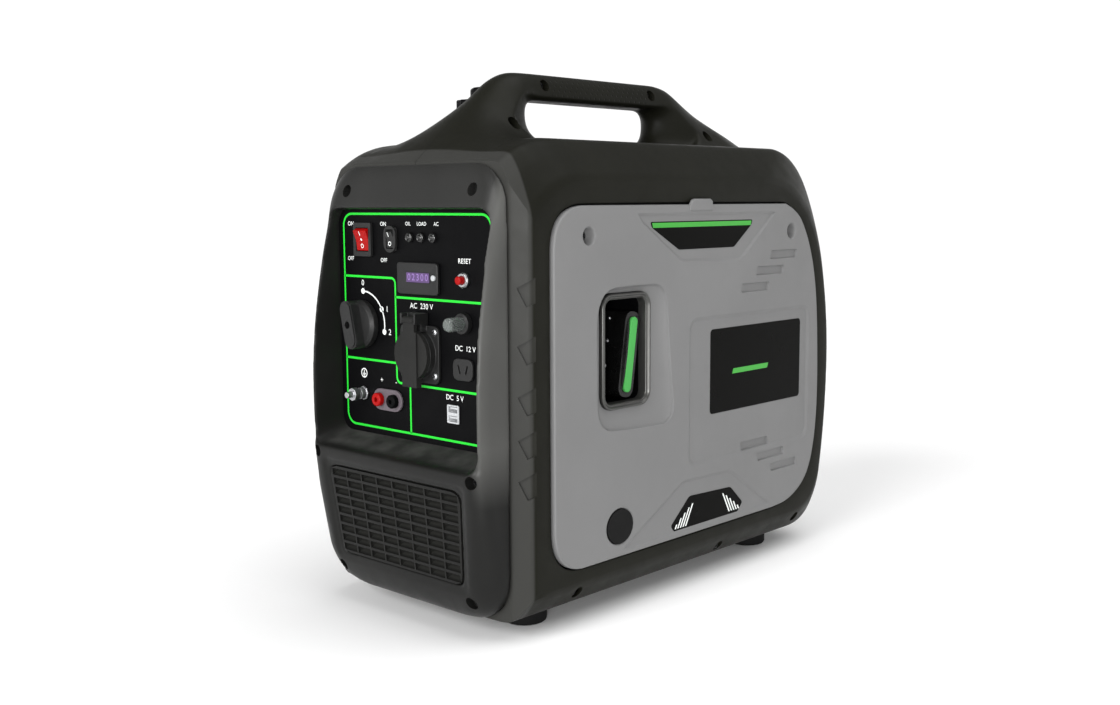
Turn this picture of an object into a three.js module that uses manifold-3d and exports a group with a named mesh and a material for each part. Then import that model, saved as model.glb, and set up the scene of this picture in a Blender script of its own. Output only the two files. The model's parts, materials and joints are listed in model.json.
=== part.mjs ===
// Portable inverter generator in a moulded clamshell housing.
// Millimetres. +Z up from the floor, the control panel faces -Y, the service door faces +X.
import * as THREE from 'three';
import { mergeVertices } from 'three/addons/utils/BufferGeometryUtils.js';
import Module from 'manifold-3d';

const wasm = await Module();
wasm.setup();

// ---------------------------------------------------------------- driving dimensions
const WALL = 3;                 // moulded housing wall
const GAP = 0.3;                // clearance between neighbouring pieces
const SEAM_Y = -232;            // plane where the front cover meets the two half shells
const REAR_Y = 270;             // furthest point of the rear bulge
const HALF_SIDE = 128;          // mid-plane to the flat side face
const HALF_SHOULDER = 104;      // mid-plane to the edge of the deck
const HALF_SEAM = 113.5;        // mid-plane to the side of the front cover
const DECK_Z = 423;             // flat top of the housing
const BELLY_Z = 16.5;           // underside of the housing
const SHOULDER_DROP = 34;       // height lost between the deck and the side face
const FLARE_DEPTH = 12;         // length lost between the seam and the side face
const BELLY_RISE = 22;          // height gained between the underside and the side face
const BROW_DROP = 20.3;         // how far the deck dips to meet the front cover
const BROW_LENGTH = 62;         // length over which it dips
const BULGE_Z = 200;            // height of the furthest point of the rear bulge
const BULGE_CURVE = 0.00128;    // rear bulge above that height, mm per square mm
const BULGE_CURVE_LOW = 0.0008; // and below it
const REAR_TOP_CORNER = 60;
const REAR_LOW_CORNER = 44;
const SIDE_EDGE_ROUND = 6;

const GRIP_TOP_Z = 487;         // top of the carrying handle
const GRIP_HEIGHT = 25;
const GRIP_HALF_WIDTH = 21;
const FINGER_FRONT_Y = -104;    // finger opening at the mid-plane, front and rear ends
const FINGER_REAR_Y = 85;
const LEG_NOSE = 14;            // plan radius of the rounded legs beside the finger opening

const RIDGE_Z = 151;            // ridge across the front cover, below the panel
const RIDGE_Y = -269.8;
const FRONT_Y = -270;           // furthest point of the cover, on the arc above the ridge
const FRONT_Z = 196;
const COVER_CURVE = 0.00082;    // that arc, mm per square mm
const COVER_TOP_Z = 402.7;
const COVER_LEAN_DOWN = 0.11;   // the face falls back below the ridge, mm per mm
const COVER_CORNER = 14;        // plan radius of the cover's vertical edges at mid height

const PANEL_Y = -235.5;         // front face of the control panel
const PANEL_THICK = 2.5;
const PANEL_HALF = 104;         // recess half width at the panel
const PANEL_LOW_Z = 160;
const PANEL_TOP_Z = 363;

const GRILLE_LOW_Z = 50;
const GRILLE_TOP_Z = 132;
const GRILLE_HALF_LOW = 81;
const GRILLE_HALF_TOP = 87;
const GRILLE_COLUMNS = 8;
const GRILLE_ROWS = 9;
const GRILLE_INSET = 1.6;        // the grille's front edges lie behind the cover's face
const GRILLE_DEPTH = 9;
const GRILLE_RISE = 0.55;       // the slats climb towards the back, mm per mm

const DOOR_FRONT_Y = -198;
const DOOR_REAR_Y = 214;
const DOOR_LOW_Z = 54;
const DOOR_TOP_Z = 366;
const DOOR_PROUD = 3;           // the door stands out of the side face
const DOOR_THICK = 5.5;
const DOOR_CORNER = 40;

const CRANK_Z = 187;            // crankshaft axis, along Y at X = 0
const PULLEY_RADIUS = 46;       // rope groove of the recoil pulley
const PULLEY_Y = -88.7;
const SHROUD_RADIUS = 70.5;
const ROPE_Z = CRANK_Z + PULLEY_RADIUS;

const CAP_X = -66;              // fuel filler
const CAP_Y = -82;
const CAP_RADIUS = 30;

const FOOT_X = 74;
const FOOT_FRONT_Y = -177.7;
const FOOT_REAR_Y = 166.5;
const FOOT_RADIUS = 20;

// ---------------------------------------------------------------- finishes
const finish = (color, roughness, metalness = 0) =>
  new THREE.MeshStandardMaterial({ color, roughness, metalness });
const charcoal = () => finish(0x2b2c29, 0.62);
const doorGrey = () => finish(0x878787, 0.55);
const blackPlastic = () => finish(0x111213, 0.5);
const darkRubber = () => finish(0x0e0e0e, 0.85);
const signalRed = () => finish(0xc81410, 0.35);
const pullGreen = () => finish(0x4fae55, 0.6);
const steel = () => finish(0xa9abad, 0.35, 1);
const castAlloy = () => finish(0x9a9b9c, 0.55, 0.9);
const blackSteel = () => finish(0x1d1e1f, 0.45, 0.8);
const tankBlack = () => finish(0x161616, 0.5);

// ---------------------------------------------------------------- solids
function toSolid(geometry) {
  const bare = geometry.clone();
  bare.deleteAttribute('normal');
  bare.deleteAttribute('uv');
  const merged = mergeVertices(bare, 1e-4);
  const vertProperties = new Float32Array(merged.attributes.position.array);
  const triVerts = new Uint32Array(merged.index.array);
  return new wasm.Manifold(new wasm.Mesh({ numProp: 3, vertProperties, triVerts }));
}

function toGeometry(solid) {
  const mesh = solid.getMesh();
  const geometry = new THREE.BufferGeometry();
  geometry.setAttribute('position', new THREE.BufferAttribute(mesh.vertProperties, 3));
  geometry.setIndex(new THREE.BufferAttribute(mesh.triVerts, 1));
  geometry.computeVertexNormals();
  return geometry;
}

const join = (first, ...rest) => rest.reduce((sum, item) => sum.add(item), first);
const cut = (first, ...rest) => rest.reduce((left, item) => left.subtract(item), first);
const common = (first, ...rest) => rest.reduce((both, item) => both.intersect(item), first);

function signedArea(points) {
  return THREE.ShapeUtils.area(points);
}

// Ear-clips a ring in the plane that it fills best; triangles keep the ring's direction.
function capTriangles(ring) {
  const spread = new THREE.Box3().setFromPoints(ring).getSize(new THREE.Vector3());
  let keep = ['x', 'y'];
  if (spread.x <= spread.y && spread.x <= spread.z) keep = ['y', 'z'];
  else if (spread.y <= spread.x && spread.y <= spread.z) keep = ['z', 'x'];
  const flat = ring.map((point) => new THREE.Vector2(point[keep[0]], point[keep[1]]));
  const faces = THREE.ShapeUtils.triangulateShape(flat, []);
  const direction = Math.sign(signedArea(flat));
  return faces.map(([a, b, c]) => {
    const turn = Math.sign(signedArea([flat[a], flat[b], flat[c]]));
    return turn === direction ? [a, b, c] : [a, c, b];
  });
}

// A closed skin over rings that all have the same number of points.
function loft(rings) {
  const count = rings[0].length;
  const index = [];
  for (let ring = 0; ring < rings.length - 1; ring += 1) {
    for (let i = 0; i < count; i += 1) {
      const a = ring * count + i;
      const b = ring * count + ((i + 1) % count);
      index.push(a, b, b + count, a, b + count, a + count);
    }
  }
  const last = (rings.length - 1) * count;
  for (const [a, b, c] of capTriangles(rings[0])) index.push(a, c, b);
  for (const [a, b, c] of capTriangles(rings[rings.length - 1])) index.push(last + a, last + b, last + c);
  const geometry = new THREE.BufferGeometry().setFromPoints(rings.flat());
  geometry.setIndex(index);
  const solid = toSolid(geometry);
  if (solid.volume() > 0) return solid;
  for (let i = 0; i < index.length; i += 3) index.splice(i, 3, index[i], index[i + 2], index[i + 1]);
  geometry.setIndex(index);
  return toSolid(geometry);
}

// Prism of a shape between two places on an axis. Shape axes: x -> (Y, Z), y -> (X, Z), z -> (X, Y).
function prism(shape, axis, from, to, segments = 6) {
  const low = Math.min(from, to);
  const high = Math.max(from, to);
  const settings = { depth: high - low, bevelEnabled: false, curveSegments: Math.ceil(segments / 2) };
  const geometry = new THREE.ExtrudeGeometry(shape, settings);
  const [x, y, z] = [new THREE.Vector3(1, 0, 0), new THREE.Vector3(0, 1, 0), new THREE.Vector3(0, 0, 1)];
  const frame = new THREE.Matrix4();
  if (axis === 'x') geometry.applyMatrix4(frame.makeBasis(y, z, x).setPosition(low, 0, 0));
  if (axis === 'y') geometry.applyMatrix4(frame.makeBasis(x, z, y.clone().negate()).setPosition(0, high, 0));
  if (axis === 'z') geometry.translate(0, 0, low);
  return toSolid(geometry);
}

function roundedRect(cx, cy, width, height, radius) {
  const shape = new THREE.Shape();
  const [x, y] = [width / 2, height / 2];
  shape.absarc(cx + x - radius, cy + y - radius, radius, 0, Math.PI / 2);
  shape.absarc(cx - x + radius, cy + y - radius, radius, Math.PI / 2, Math.PI);
  shape.absarc(cx - x + radius, cy - y + radius, radius, Math.PI, Math.PI * 1.5);
  shape.absarc(cx + x - radius, cy - y + radius, radius, Math.PI * 1.5, Math.PI * 2);
  shape.closePath();
  return shape;
}

const circle = (cx, cy, radius) => new THREE.Shape().absarc(cx, cy, radius, 0, Math.PI * 2);
const oval = (cx, cy, rx, ry) => new THREE.Shape().absellipse(cx, cy, rx, ry, 0, Math.PI * 2);
const polygon = (points) => new THREE.Shape(points.map(([x, y]) => new THREE.Vector2(x, y)));

function box(x0, x1, y0, y1, z0, z1) {
  const geometry = new THREE.BoxGeometry(x1 - x0, y1 - y0, z1 - z0);
  return toSolid(geometry.translate((x0 + x1) / 2, (y0 + y1) / 2, (z0 + z1) / 2));
}

// Round bar along an axis through (u, v), the two other coordinates in X, Y, Z order.
function rod(axis, u, v, radius, from, to, segments = 24) {
  return prism(circle(u, v, radius), axis, from, to, segments);
}

// Turned solid: profile of [radius, distance] pairs along a direction from a base point.
function turned(profile, base, direction, segments = 24) {
  const outline = profile.map(([radius, height]) => new THREE.Vector2(radius, height));
  const geometry = new THREE.LatheGeometry(outline, segments);
  const turn = new THREE.Quaternion().setFromUnitVectors(new THREE.Vector3(0, 1, 0), direction);
  geometry.applyQuaternion(turn).translate(base.x, base.y, base.z);
  const solid = toSolid(geometry);
  if (solid.volume() > 0) return solid;
  geometry.setIndex(Array.from(geometry.index.array).reverse());
  return toSolid(geometry);
}

const vec = (x, y, z) => new THREE.Vector3(x, y, z);
const FRONTWARD = vec(0, -1, 0);
const UPWARD = vec(0, 0, 1);
const RIGHTWARD = vec(1, 0, 0);

// Points of a rounded corner from a through control c to b, ends included.
function corner(a, c, b, steps) {
  const curve = new THREE.QuadraticBezierCurve(new THREE.Vector2(...a), new THREE.Vector2(...c), new THREE.Vector2(...b));
  return curve.getPoints(steps).map((point) => [point.x, point.y]);
}

function tilted(solid, axis, degrees, centre) {
  const turn = [0, 0, 0];
  turn[['x', 'y', 'z'].indexOf(axis)] = degrees;
  return solid.translate([-centre.x, -centre.y, -centre.z]).rotate(turn).translate([centre.x, centre.y, centre.z]);
}

// ---------------------------------------------------------------- housing surface
const softRamp = (distance, softness) => (distance + Math.hypot(distance, 2 * softness)) / 2;

// Quarter-ellipse fall of a surface that nears a limit.
function edgeFall(place, limit, reach, depth) {
  const past = Math.min(Math.max(0, place - (limit - reach)) / reach, 1);
  return depth * (1 - Math.sqrt(1 - past * past));
}

// How far the side view's outline shrinks at a distance from the mid-plane.
function insetsAt(x) {
  const away = Math.abs(x);
  const round = edgeFall(away, HALF_SIDE, SIDE_EDGE_ROUND, SIDE_EDGE_ROUND);
  const shoulder = SHOULDER_DROP / (HALF_SIDE - HALF_SHOULDER) * softRamp(away - HALF_SHOULDER, 2);
  const flare = FLARE_DEPTH / (HALF_SIDE - HALF_SEAM) * softRamp(away - HALF_SEAM, 0.6);
  const belly = BELLY_RISE / (HALF_SIDE - HALF_SEAM) * softRamp(away - HALF_SEAM, 3);
  return { top: shoulder + round, front: flare + round, belly: belly + round };
}

const rearFace = (z) => REAR_Y - (z > BULGE_Z ? BULGE_CURVE : BULGE_CURVE_LOW) * (z - BULGE_Z) ** 2;

// Start, control and end of the rounded corner between the rear face and the deck.
const crown = (rear, turn, high, reach) => [[rear, turn], [rear - 20, high - 5], [rear - reach - 8, high]];

// Side view of the housing at a distance x from the mid-plane, as points in a plane of constant X.
function sideRing(x, wall) {
  const stretch = HALF_SIDE / (HALF_SIDE - wall);
  const inset = insetsAt(x * stretch);
  const front = SEAM_Y + inset.front + wall;
  const low = BELLY_Z + inset.belly + wall;
  const high = DECK_Z - inset.top - wall;
  const rear = (z) => rearFace(z) - 0.95 * inset.top - wall;
  const lowTurn = low + REAR_LOW_CORNER;
  const highTurn = high - REAR_TOP_CORNER - inset.top * 1.2;
  const brow = high - BROW_DROP - inset.top * 0.35;
  const topCorner = REAR_TOP_CORNER + inset.top * 1.2;
  const fine = wall > 0 ? [2, 3, 3, 2] : [4, 5, 5, 3];
  const points = [[front, low]];
  points.push(...corner([rear(low) - REAR_LOW_CORNER, low], [rear(low + 8), low], [rear(lowTurn), lowTurn], fine[0]));
  for (let step = 1; step < fine[1]; step += 1) {
    const z = lowTurn + (highTurn - lowTurn) * step / fine[1];
    points.push([rear(z), z]);
  }
  points.push(...corner(...crown(rear(highTurn), highTurn, high, topCorner), fine[2]));
  points.push(...corner([front + BROW_LENGTH, high], [front + BROW_LENGTH * 0.45, high], [front, brow], fine[3]));
  return points.map(([y, z]) => vec(x, y, z));
}

function housingHull(wall) {
  const reach = wall > 0 ? [0, 100, 112, 124, HALF_SIDE] : [0, 98, 103, 107, 114, 121, 125, 127, HALF_SIDE];
  const half = reach.map((x) => x * (HALF_SIDE - wall) / HALF_SIDE);
  const places = [...half.slice(1).reverse().map((x) => -x), ...half];
  return loft(places.map((x) => sideRing(x, wall)));
}

// Places on the deck's centre line: a point and its outward direction, in the side view.
const onDeck = (y) => ({ y, z: DECK_Z, lean: 0 });
function onBrow(share) {
  const [a, b, c] = [SEAM_Y + BROW_LENGTH, SEAM_Y + BROW_LENGTH * 0.45, SEAM_Y];
  return { y: (1 - share) ** 2 * a + 2 * share * (1 - share) * b + share * share * c, z: DECK_Z - BROW_DROP * share * share, lean: 0 };
}
function onCrown(share) {
  const turn = DECK_Z - REAR_TOP_CORNER;
  const [c, b, a] = crown(rearFace(turn), turn, DECK_Z, REAR_TOP_CORNER);
  const at = (i) => (1 - share) ** 2 * a[i] + 2 * share * (1 - share) * b[i] + share * share * c[i];
  const go = (i) => 2 * (1 - share) * (b[i] - a[i]) + 2 * share * (c[i] - b[i]);
  return { y: at(0), z: at(1), lean: Math.atan2(-go(1), go(0)) };
}

// Stations of the crest that carries the handle: place, height as a share of the full rise,
// half width of its foot, and the two powers that shape its dome.
const crestStations = () => [
  [onBrow(1), 0.006, 92, 2, 2],
  [onBrow(0.59), 0.127, 84, 2, 2],
  [onBrow(0.24), 0.33, 76, 2, 2],
  [onDeck(-160), 0.625, 62, 2, 2],
  [onDeck(-141), 0.86, 54, 2.2, 1.9],
  [onDeck(FINGER_FRONT_Y - 20), 0.978, 44, 2.6, 1.7],
  [onDeck(FINGER_FRONT_Y - 4), 1, 32, 3.4, 1.35],
  [onDeck(FINGER_FRONT_Y + 12), 1, GRIP_HALF_WIDTH * 1.3, 4, 1.2],
  [onDeck(FINGER_REAR_Y - 11), 1, GRIP_HALF_WIDTH * 1.3, 4, 1.2],
  [onDeck(FINGER_REAR_Y + 5), 0.989, 32, 3.4, 1.35],
  [onDeck(FINGER_REAR_Y + 21), 0.94, 42, 2.6, 1.7],
  [onDeck(124), 0.805, 50, 2.2, 1.9],
  [onDeck(147), 0.62, 56, 2, 2],
  [onCrown(0), 0.45, 62, 2, 2],
  [onCrown(0.25), 0.36, 66, 2, 2],
  [onCrown(0.5), 0.25, 68, 2, 2],
  [onCrown(0.75), 0.125, 68, 2, 2],
  [onCrown(1), 0.01, 66, 2, 2],
];

// Dome-shaped section of the crest. The hollow inside it is the same dome, sunk by the wall.
function crestRing([place, share, foot, fold, fall], wall) {
  const rise = (GRIP_TOP_Z - DECK_Z) * share;
  const sink = 1.3 * wall;
  const half = wall > 0 ? 3 : 4;
  const out = (x, height) => vec(x, place.y + height * Math.sin(place.lean), place.z + height * Math.cos(place.lean));
  const points = [];
  for (let step = -half; step <= half; step += 1) {
    const along = Math.sin(step / half * Math.PI / 2);
    points.push(out((foot - wall) * along, rise * (1 - Math.abs(along) ** fold) ** fall - sink));
  }
  points.push(out(foot - wall, -8 - sink), out(wall - foot, -8 - sink));
  return points;
}

const crestSolid = (wall) => loft(crestStations().map((station) => crestRing(station, wall)));

// Finger opening: its ends draw back beside the mid-plane, so that the legs have rounded noses.
function fingerOpening(grow) {
  const places = [0, 12, 22, 34, 60];
  const across = [...places.slice(1).reverse().map((x) => -x), ...places];
  return loft(across.map((x) => {
    const away = Math.min(Math.abs(x), 34);
    const back = away * away / (2 * LEG_NOSE) + grow;
    const top = GRIP_TOP_Z - GRIP_HEIGHT + Math.min(0.06 * Math.max(0, away - 12) ** 2, 6) + grow;
    const [front, rear, low] = [FINGER_FRONT_Y - back, FINGER_REAR_Y + back, DECK_Z - 0.6 - grow];
    return [
      ...corner([front, low + 22], [front, low], [front + 22, low], 4),
      ...corner([rear - 22, low], [rear, low], [rear, low + 22], 4),
      ...corner([rear, top - 16], [rear, top], [rear - 16, top], 4),
      ...corner([front + 16, top], [front, top], [front, top - 16], 4),
    ].map(([y, z]) => vec(x, y, z));
  }));
}

const shellScrews = {
  grip: [[-87, 476], [70, 475.5]],
  flank: [[-150, 438], [140, 436]],
  belly: [[-161, 31], [50, 28.5], [184, 33]],
};

// Both half shells in one, before the split along the mid-plane.
function housingBody() {
  const outside = join(housingHull(0), cut(crestSolid(0), fingerOpening(0)));
  const legs = join(box(-100, 100, -196, FINGER_FRONT_Y, DECK_Z - 30, GRIP_TOP_Z), box(-100, 100, FINGER_REAR_Y, 196, DECK_Z - 30, GRIP_TOP_Z));
  const cavity = cut(common(crestSolid(WALL), legs), fingerOpening(WALL));
  return cut(outside, housingHull(WALL), cavity);
}

const frontOpening = () => {
  const low = BELLY_Z + WALL + 1;
  const high = COVER_TOP_Z - WALL - 3;
  return roundedRect(0, (low + high) / 2, 2 * (HALF_SEAM - WALL - 1.5), high - low, 24);
};
const REAR_OPEN = { x: 0, z: 205, width: 168, height: 290, radius: 26 };
const rearOpening = (grow) => roundedRect(REAR_OPEN.x, REAR_OPEN.z,
  REAR_OPEN.width + 2 * grow, REAR_OPEN.height + 2 * grow, REAR_OPEN.radius + grow);

// Door outline in the side view, shrunk by a margin. The rear edge follows the bulge.
function doorOutline(margin) {
  const front = DOOR_FRONT_Y + margin;
  const low = DOOR_LOW_Z + margin;
  const high = DOOR_TOP_Z - margin;
  const rear = (z) => DOOR_REAR_Y - margin - BULGE_CURVE * 0.95 * (z - BULGE_Z + 15) ** 2;
  const r = DOOR_CORNER;
  const points = [
    ...corner([front, low + r], [front, low], [front + r, low], 4),
    ...corner([rear(low) - r, low], [rear(low), low], [rear(low + r), low + r], 4),
  ];
  for (let step = 1; step < 4; step += 1) {
    const z = low + r + (high - low - 2 * r) * step / 4;
    points.push([rear(z), z]);
  }
  points.push(...corner([rear(high - r), high - r], [rear(high), high], [rear(high) - r, high], 4));
  points.push(...corner([front + r, high], [front, high], [front, high - r], 4));
  return polygon(points);
}

// Shallow grip notches down the flared front edge of a half shell.
const NOTCH_TOP_Z = 303;
const NOTCH_PITCH = 47;
const NOTCH_COUNT = 5;
const NOTCH_DEPTH = 1.4;
function notches(side) {
  const slope = Math.hypot(HALF_SIDE - HALF_SEAM, FLARE_DEPTH);
  const along = [(HALF_SIDE - HALF_SEAM) / slope, FLARE_DEPTH / slope];
  const start = [HALF_SEAM - NOTCH_DEPTH * along[1], SEAM_Y + NOTCH_DEPTH * along[0]];
  const end = [start[0] + 24 * along[0], start[1] + 24 * along[1]];
  const outside = prism(polygon([start, end, [end[0] + 10, SEAM_Y - 5], [start[0], SEAM_Y - 5]]), 'z', 50, 350);
  const marks = Array.from({ length: NOTCH_COUNT }, (_, step) => NOTCH_TOP_Z - step * NOTCH_PITCH)
    .map((z) => polygon([[-229, z], [-216, z + 9], [-216, z - 12], [-221, z - 15]]))
    .map((shape) => prism(shape, 'x', HALF_SEAM - 4, HALF_SIDE + 4));
  return common(join(...marks), outside).scale([side, 1, 1]);
}

function halfShells(material) {
  const body = cut(
    housingBody(),
    prism(frontOpening(), 'y', SEAM_Y - 5, SEAM_Y + 12, 5),
    prism(rearOpening(0), 'y', 200, REAR_Y + 5, 5),
  );
  const right = cut(
    common(body, box(GAP / 2, 150, -300, 300, 0, 500)),
    prism(doorOutline(-0.5), 'x', HALF_SIDE - 12, HALF_SIDE + 5),
    ...screwWells(),
    ...footHoles(1),
    notches(1),
  );
  const left = cut(
    common(body, box(-150, -GAP / 2, -300, 300, 0, 500)),
    prism(doorOutline(-0.5), 'x', -HALF_SIDE - 5, -HALF_SIDE + 12),
    rod('z', CAP_X, CAP_Y, CAP_RADIUS - 4, DECK_Z - 20, DECK_Z + 10, 20),
    ...footHoles(-1),
    notches(-1),
  );
  return [part('right_shell', right, material()), part('left_shell', left, material())];
}

const WELL_RADIUS = 4.6;
function screwWells() {
  const wells = [];
  for (const [y, z] of shellScrews.grip) wells.push(rod('x', y, z, WELL_RADIUS, GRIP_HALF_WIDTH - 10, 60, 8));
  for (const [y, z] of shellScrews.flank) wells.push(rod('x', y, z, WELL_RADIUS, 24, 60, 8));
  for (const [y, z] of shellScrews.belly) wells.push(rod('x', y, z, WELL_RADIUS, HALF_SIDE - 16, HALF_SIDE + 12, 8));
  return wells;
}

const FOOT_STUD = 5;
const footHoles = (side) => [FOOT_FRONT_Y, FOOT_REAR_Y]
  .map((y) => rod('z', side * FOOT_X, y, FOOT_STUD + 2.5 * GAP, BELLY_Z - 5, BELLY_Z + 8, 8));

// ---------------------------------------------------------------- naming
const generator = new THREE.Group();
function part(name, solid, material, parent = generator) {
  const mesh = new THREE.Mesh(toGeometry(solid), material);
  mesh.name = name;
  parent.add(mesh);
  return mesh;
}


// ---------------------------------------------------------------- front cover
const COVER_TOP_REACH = 38;
const COVER_LOW_REACH = 40;
const COVER_LOW_Z = BELLY_Z + GAP;

function coverFace(z) {
  const arc = FRONT_Y + COVER_CURVE * (z - FRONT_Z) ** 2;
  const lean = RIDGE_Y + COVER_LEAN_DOWN * (RIDGE_Z - z);
  return (z > RIDGE_Z ? arc : lean) + edgeFall(z, COVER_TOP_Z, 14, 3) + edgeFall(-z, -COVER_LOW_Z, COVER_LOW_REACH, 18.5);
}

function coverHalf(z) {
  const top = edgeFall(z, COVER_TOP_Z, COVER_TOP_REACH, COVER_TOP_REACH);
  const low = edgeFall(-z, -COVER_LOW_Z, COVER_LOW_REACH, COVER_LOW_REACH);
  return HALF_SEAM - Math.max(top, low);
}

// Plan radius of the vertical edges: larger towards the top and the bottom.
const rampUp = (value, from, to) => Math.min(Math.max(0, (value - from) / (to - from)), 1);
const coverCorner = (z) => COVER_CORNER + 4.5 * rampUp(z, 230, 340) + 12 * rampUp(-z, -110, -40);

function coverRing(z, wall) {
  const height = COVER_TOP_Z - COVER_LOW_Z;
  const outerZ = COVER_LOW_Z + (z - COVER_LOW_Z - wall) * height / (height - 2 * wall);
  const half = coverHalf(outerZ) - wall;
  const face = coverFace(outerZ) + wall;
  const back = wall > 0 ? SEAM_Y + 8 : SEAM_Y - GAP;
  const radius = coverCorner(outerZ) - wall;
  const deep = Math.min(radius, back - face);
  const steps = wall > 0 ? [0, 1, 2] : [0, 1, 2, 3, 4];
  const arc = (side) => steps.map((step) => {
    const angle = step / (steps.length - 1) * Math.PI / 2;
    return vec(side * (half - radius * (1 - Math.cos(angle))), face + deep * (1 - Math.sin(angle)), z);
  });
  return [vec(-half, back, z), ...arc(-1), ...arc(1).reverse(), vec(half, back, z)];
}

function coverBody(wall) {
  const low = COVER_LOW_Z + wall;
  const high = COVER_TOP_Z - wall;
  const count = wall > 0 ? 2 : 4;
  const ease = Array.from({ length: count }, (_, step) => 1 - Math.cos(step / count * Math.PI / 2));
  const heights = ease.map((share) => low + COVER_LOW_REACH * share);
  heights.push(low + COVER_LOW_REACH, 104, RIDGE_Z, FRONT_Z, 240, 290, 335);
  heights.push(...ease.reverse().map((share) => high - (COVER_TOP_REACH - 4) * share));
  return loft(heights.map((z) => coverRing(z, wall)));
}

// Recess round the control panel: it widens towards the front and its sill slopes.
function recess(grow, back) {
  const ring = (y) => {
    const share = (PANEL_Y - y) / (PANEL_Y - RIDGE_Y);
    const half = PANEL_HALF + 4 * share + grow;
    const low = PANEL_LOW_Z - 12 * share - grow;
    const high = PANEL_TOP_Z + 3 * share + grow;
    const outline = roundedRect(0, (low + high) / 2, 2 * half, high - low, 12 + grow);
    return outline.extractPoints(1).shape.map((point) => vec(point.x, y, point.y));
  };
  return loft([ring(back), ring(RIDGE_Y - 12)]);
}

function grilleOutline(margin) {
  const low = GRILLE_LOW_Z + margin;
  const high = GRILLE_TOP_Z - margin;
  const r = 9;
  const [a, b] = [GRILLE_HALF_LOW - margin, GRILLE_HALF_TOP - margin];
  return polygon([
    ...corner([a, low + r], [a, low], [a - r, low], 2),
    ...corner([-a + r, low], [-a, low], [-a, low + r], 2),
    ...corner([-b, high - r], [-b, high], [-b + r, high], 2),
    ...corner([b - r, high], [b, high], [b, high - r], 2),
  ]);
}

// Slab that follows the leaning face below the ridge, between two depths behind it.
function leaningSlab(near, far, low = GRILLE_LOW_Z - 12, high = GRILLE_TOP_Z + 12) {
  const lean = (z) => RIDGE_Y + COVER_LEAN_DOWN * (RIDGE_Z - z);
  const outline = [[lean(low) + near, low], [lean(high) + near, high], [lean(high) + far, high], [lean(low) + far, low]];
  return prism(polygon(outline), 'x', -120, 120);
}

const coverScrews = [[82.3, 379.4], [102.5, 143], [86.4, 35.5]];
const mirrored = (points) => points.flatMap(([x, z]) => [[x, z], [-x, z]]);

function frontCover() {
  const outer = coverBody(0);
  const walls = common(recess(2.5, PANEL_Y - GAP), outer);
  const bosses = mirrored(coverScrews)
    .map(([x, z]) => common(rod('y', x, z, 7.5, coverFace(z) + 1, SEAM_Y - GAP, 6), outer));
  const wells = mirrored(coverScrews).map(([x, z]) => rod('y', x, z, 5, RIDGE_Y - 20, coverFace(z) + 6, 8));
  const rim = common(prism(grilleOutline(-7), 'y', -290, -240), leaningSlab(-20, GRILLE_INSET));
  return cut(
    join(cut(outer, coverBody(WALL)), walls, ...bosses),
    recess(0, SEAM_Y + 4),
    prism(grilleOutline(0), 'y', -290, -225),
    rim,
    ...wells,
  );
}

function frontGrille() {
    const mesh = common(prism(grilleOutline(GAP), 'y', -290, -225), leaningSlab(GRILLE_INSET, GRILLE_INSET + GRILLE_DEPTH));
  const lean = (z) => RIDGE_Y + COVER_LEAN_DOWN * (RIDGE_Z - z);
  const pitch = (GRILLE_TOP_Z - GRILLE_LOW_Z - 3) / GRILLE_ROWS;
  const cells = [];
  for (let row = 0; row < GRILLE_ROWS; row += 1) {
    const z = GRILLE_LOW_Z + 1.5 + row * pitch;
    const half = GRILLE_HALF_LOW - 2 + (GRILLE_HALF_TOP - GRILLE_HALF_LOW) * (row + 0.5) / GRILLE_ROWS;
    const width = 2 * half / GRILLE_COLUMNS;
    const [near, far] = [lean(z) - 4, lean(z) + GRILLE_INSET + GRILLE_DEPTH + 2];
    const rise = GRILLE_RISE * (far - near);
    const slope = polygon([[near, z + 1 - 3], [near, z + pitch - 4], [far, z + pitch - 4 + rise], [far, z - 2 + rise]]);
    for (let column = 0; column < GRILLE_COLUMNS; column += 1) {
      const x = -half + column * width;
      cells.push(prism(slope, 'x', x + 0.8, x + width - 0.8));
    }
  }
  return cut(mesh, ...cells);
}

// ---------------------------------------------------------------- rear cover
const LOUVRES = 6;
const OUTLET = { x: 38, z: 158, radius: 12 };
const rearScrews = [[68, 80], [68, 328]];

function rearCover() {
  const back = box(-120, 120, 150, REAR_Y + 5, 40, 380);
  const rim = housingHull(WALL + GAP + 2.5);
  const plug = common(housingHull(0), prism(rearOpening(-0.5), 'y', 150, REAR_Y + 5, 4), back);
  const flange = common(housingHull(WALL + GAP), prism(rearOpening(6), 'y', 150, REAR_Y + 5, 4), back);
  const louvres = [];
  for (let row = 0; row < LOUVRES; row += 1) {
    const z = 246 + row * 14;
    louvres.push(box(-58, 58, 200, REAR_Y + 5, z, z + 6));
  }
  const wells = mirrored(rearScrews).map(([x, z]) => rod('y', x, z, 5, 236, REAR_Y + 5, 10));
  const outlet = rod('y', OUTLET.x, OUTLET.z, OUTLET.radius + 8, 150, REAR_Y + 5, 20);
  return cut(join(plug, flange), rim, ...louvres, ...wells.map((well) => common(well, back)), outlet);
}

// ---------------------------------------------------------------- service door and left cover
const DOOR_FACE_X = HALF_SIDE + DOOR_PROUD;
const DOOR_BACK_X = DOOR_FACE_X - DOOR_THICK;
const DOOR_SKIN = 2.5;
const doorScrewPlaces = [[-154, 340], [158, 338]];
const PLUG_PLACE = { y: -113.5, z: 82, ry: 17.5, rz: 15.7 };
const RECOIL = { y: PULLEY_Y - 10.6, z: ROPE_Z + 4.7, width: 67, height: 103, floor: DOOR_FACE_X - 7.5 };

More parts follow.
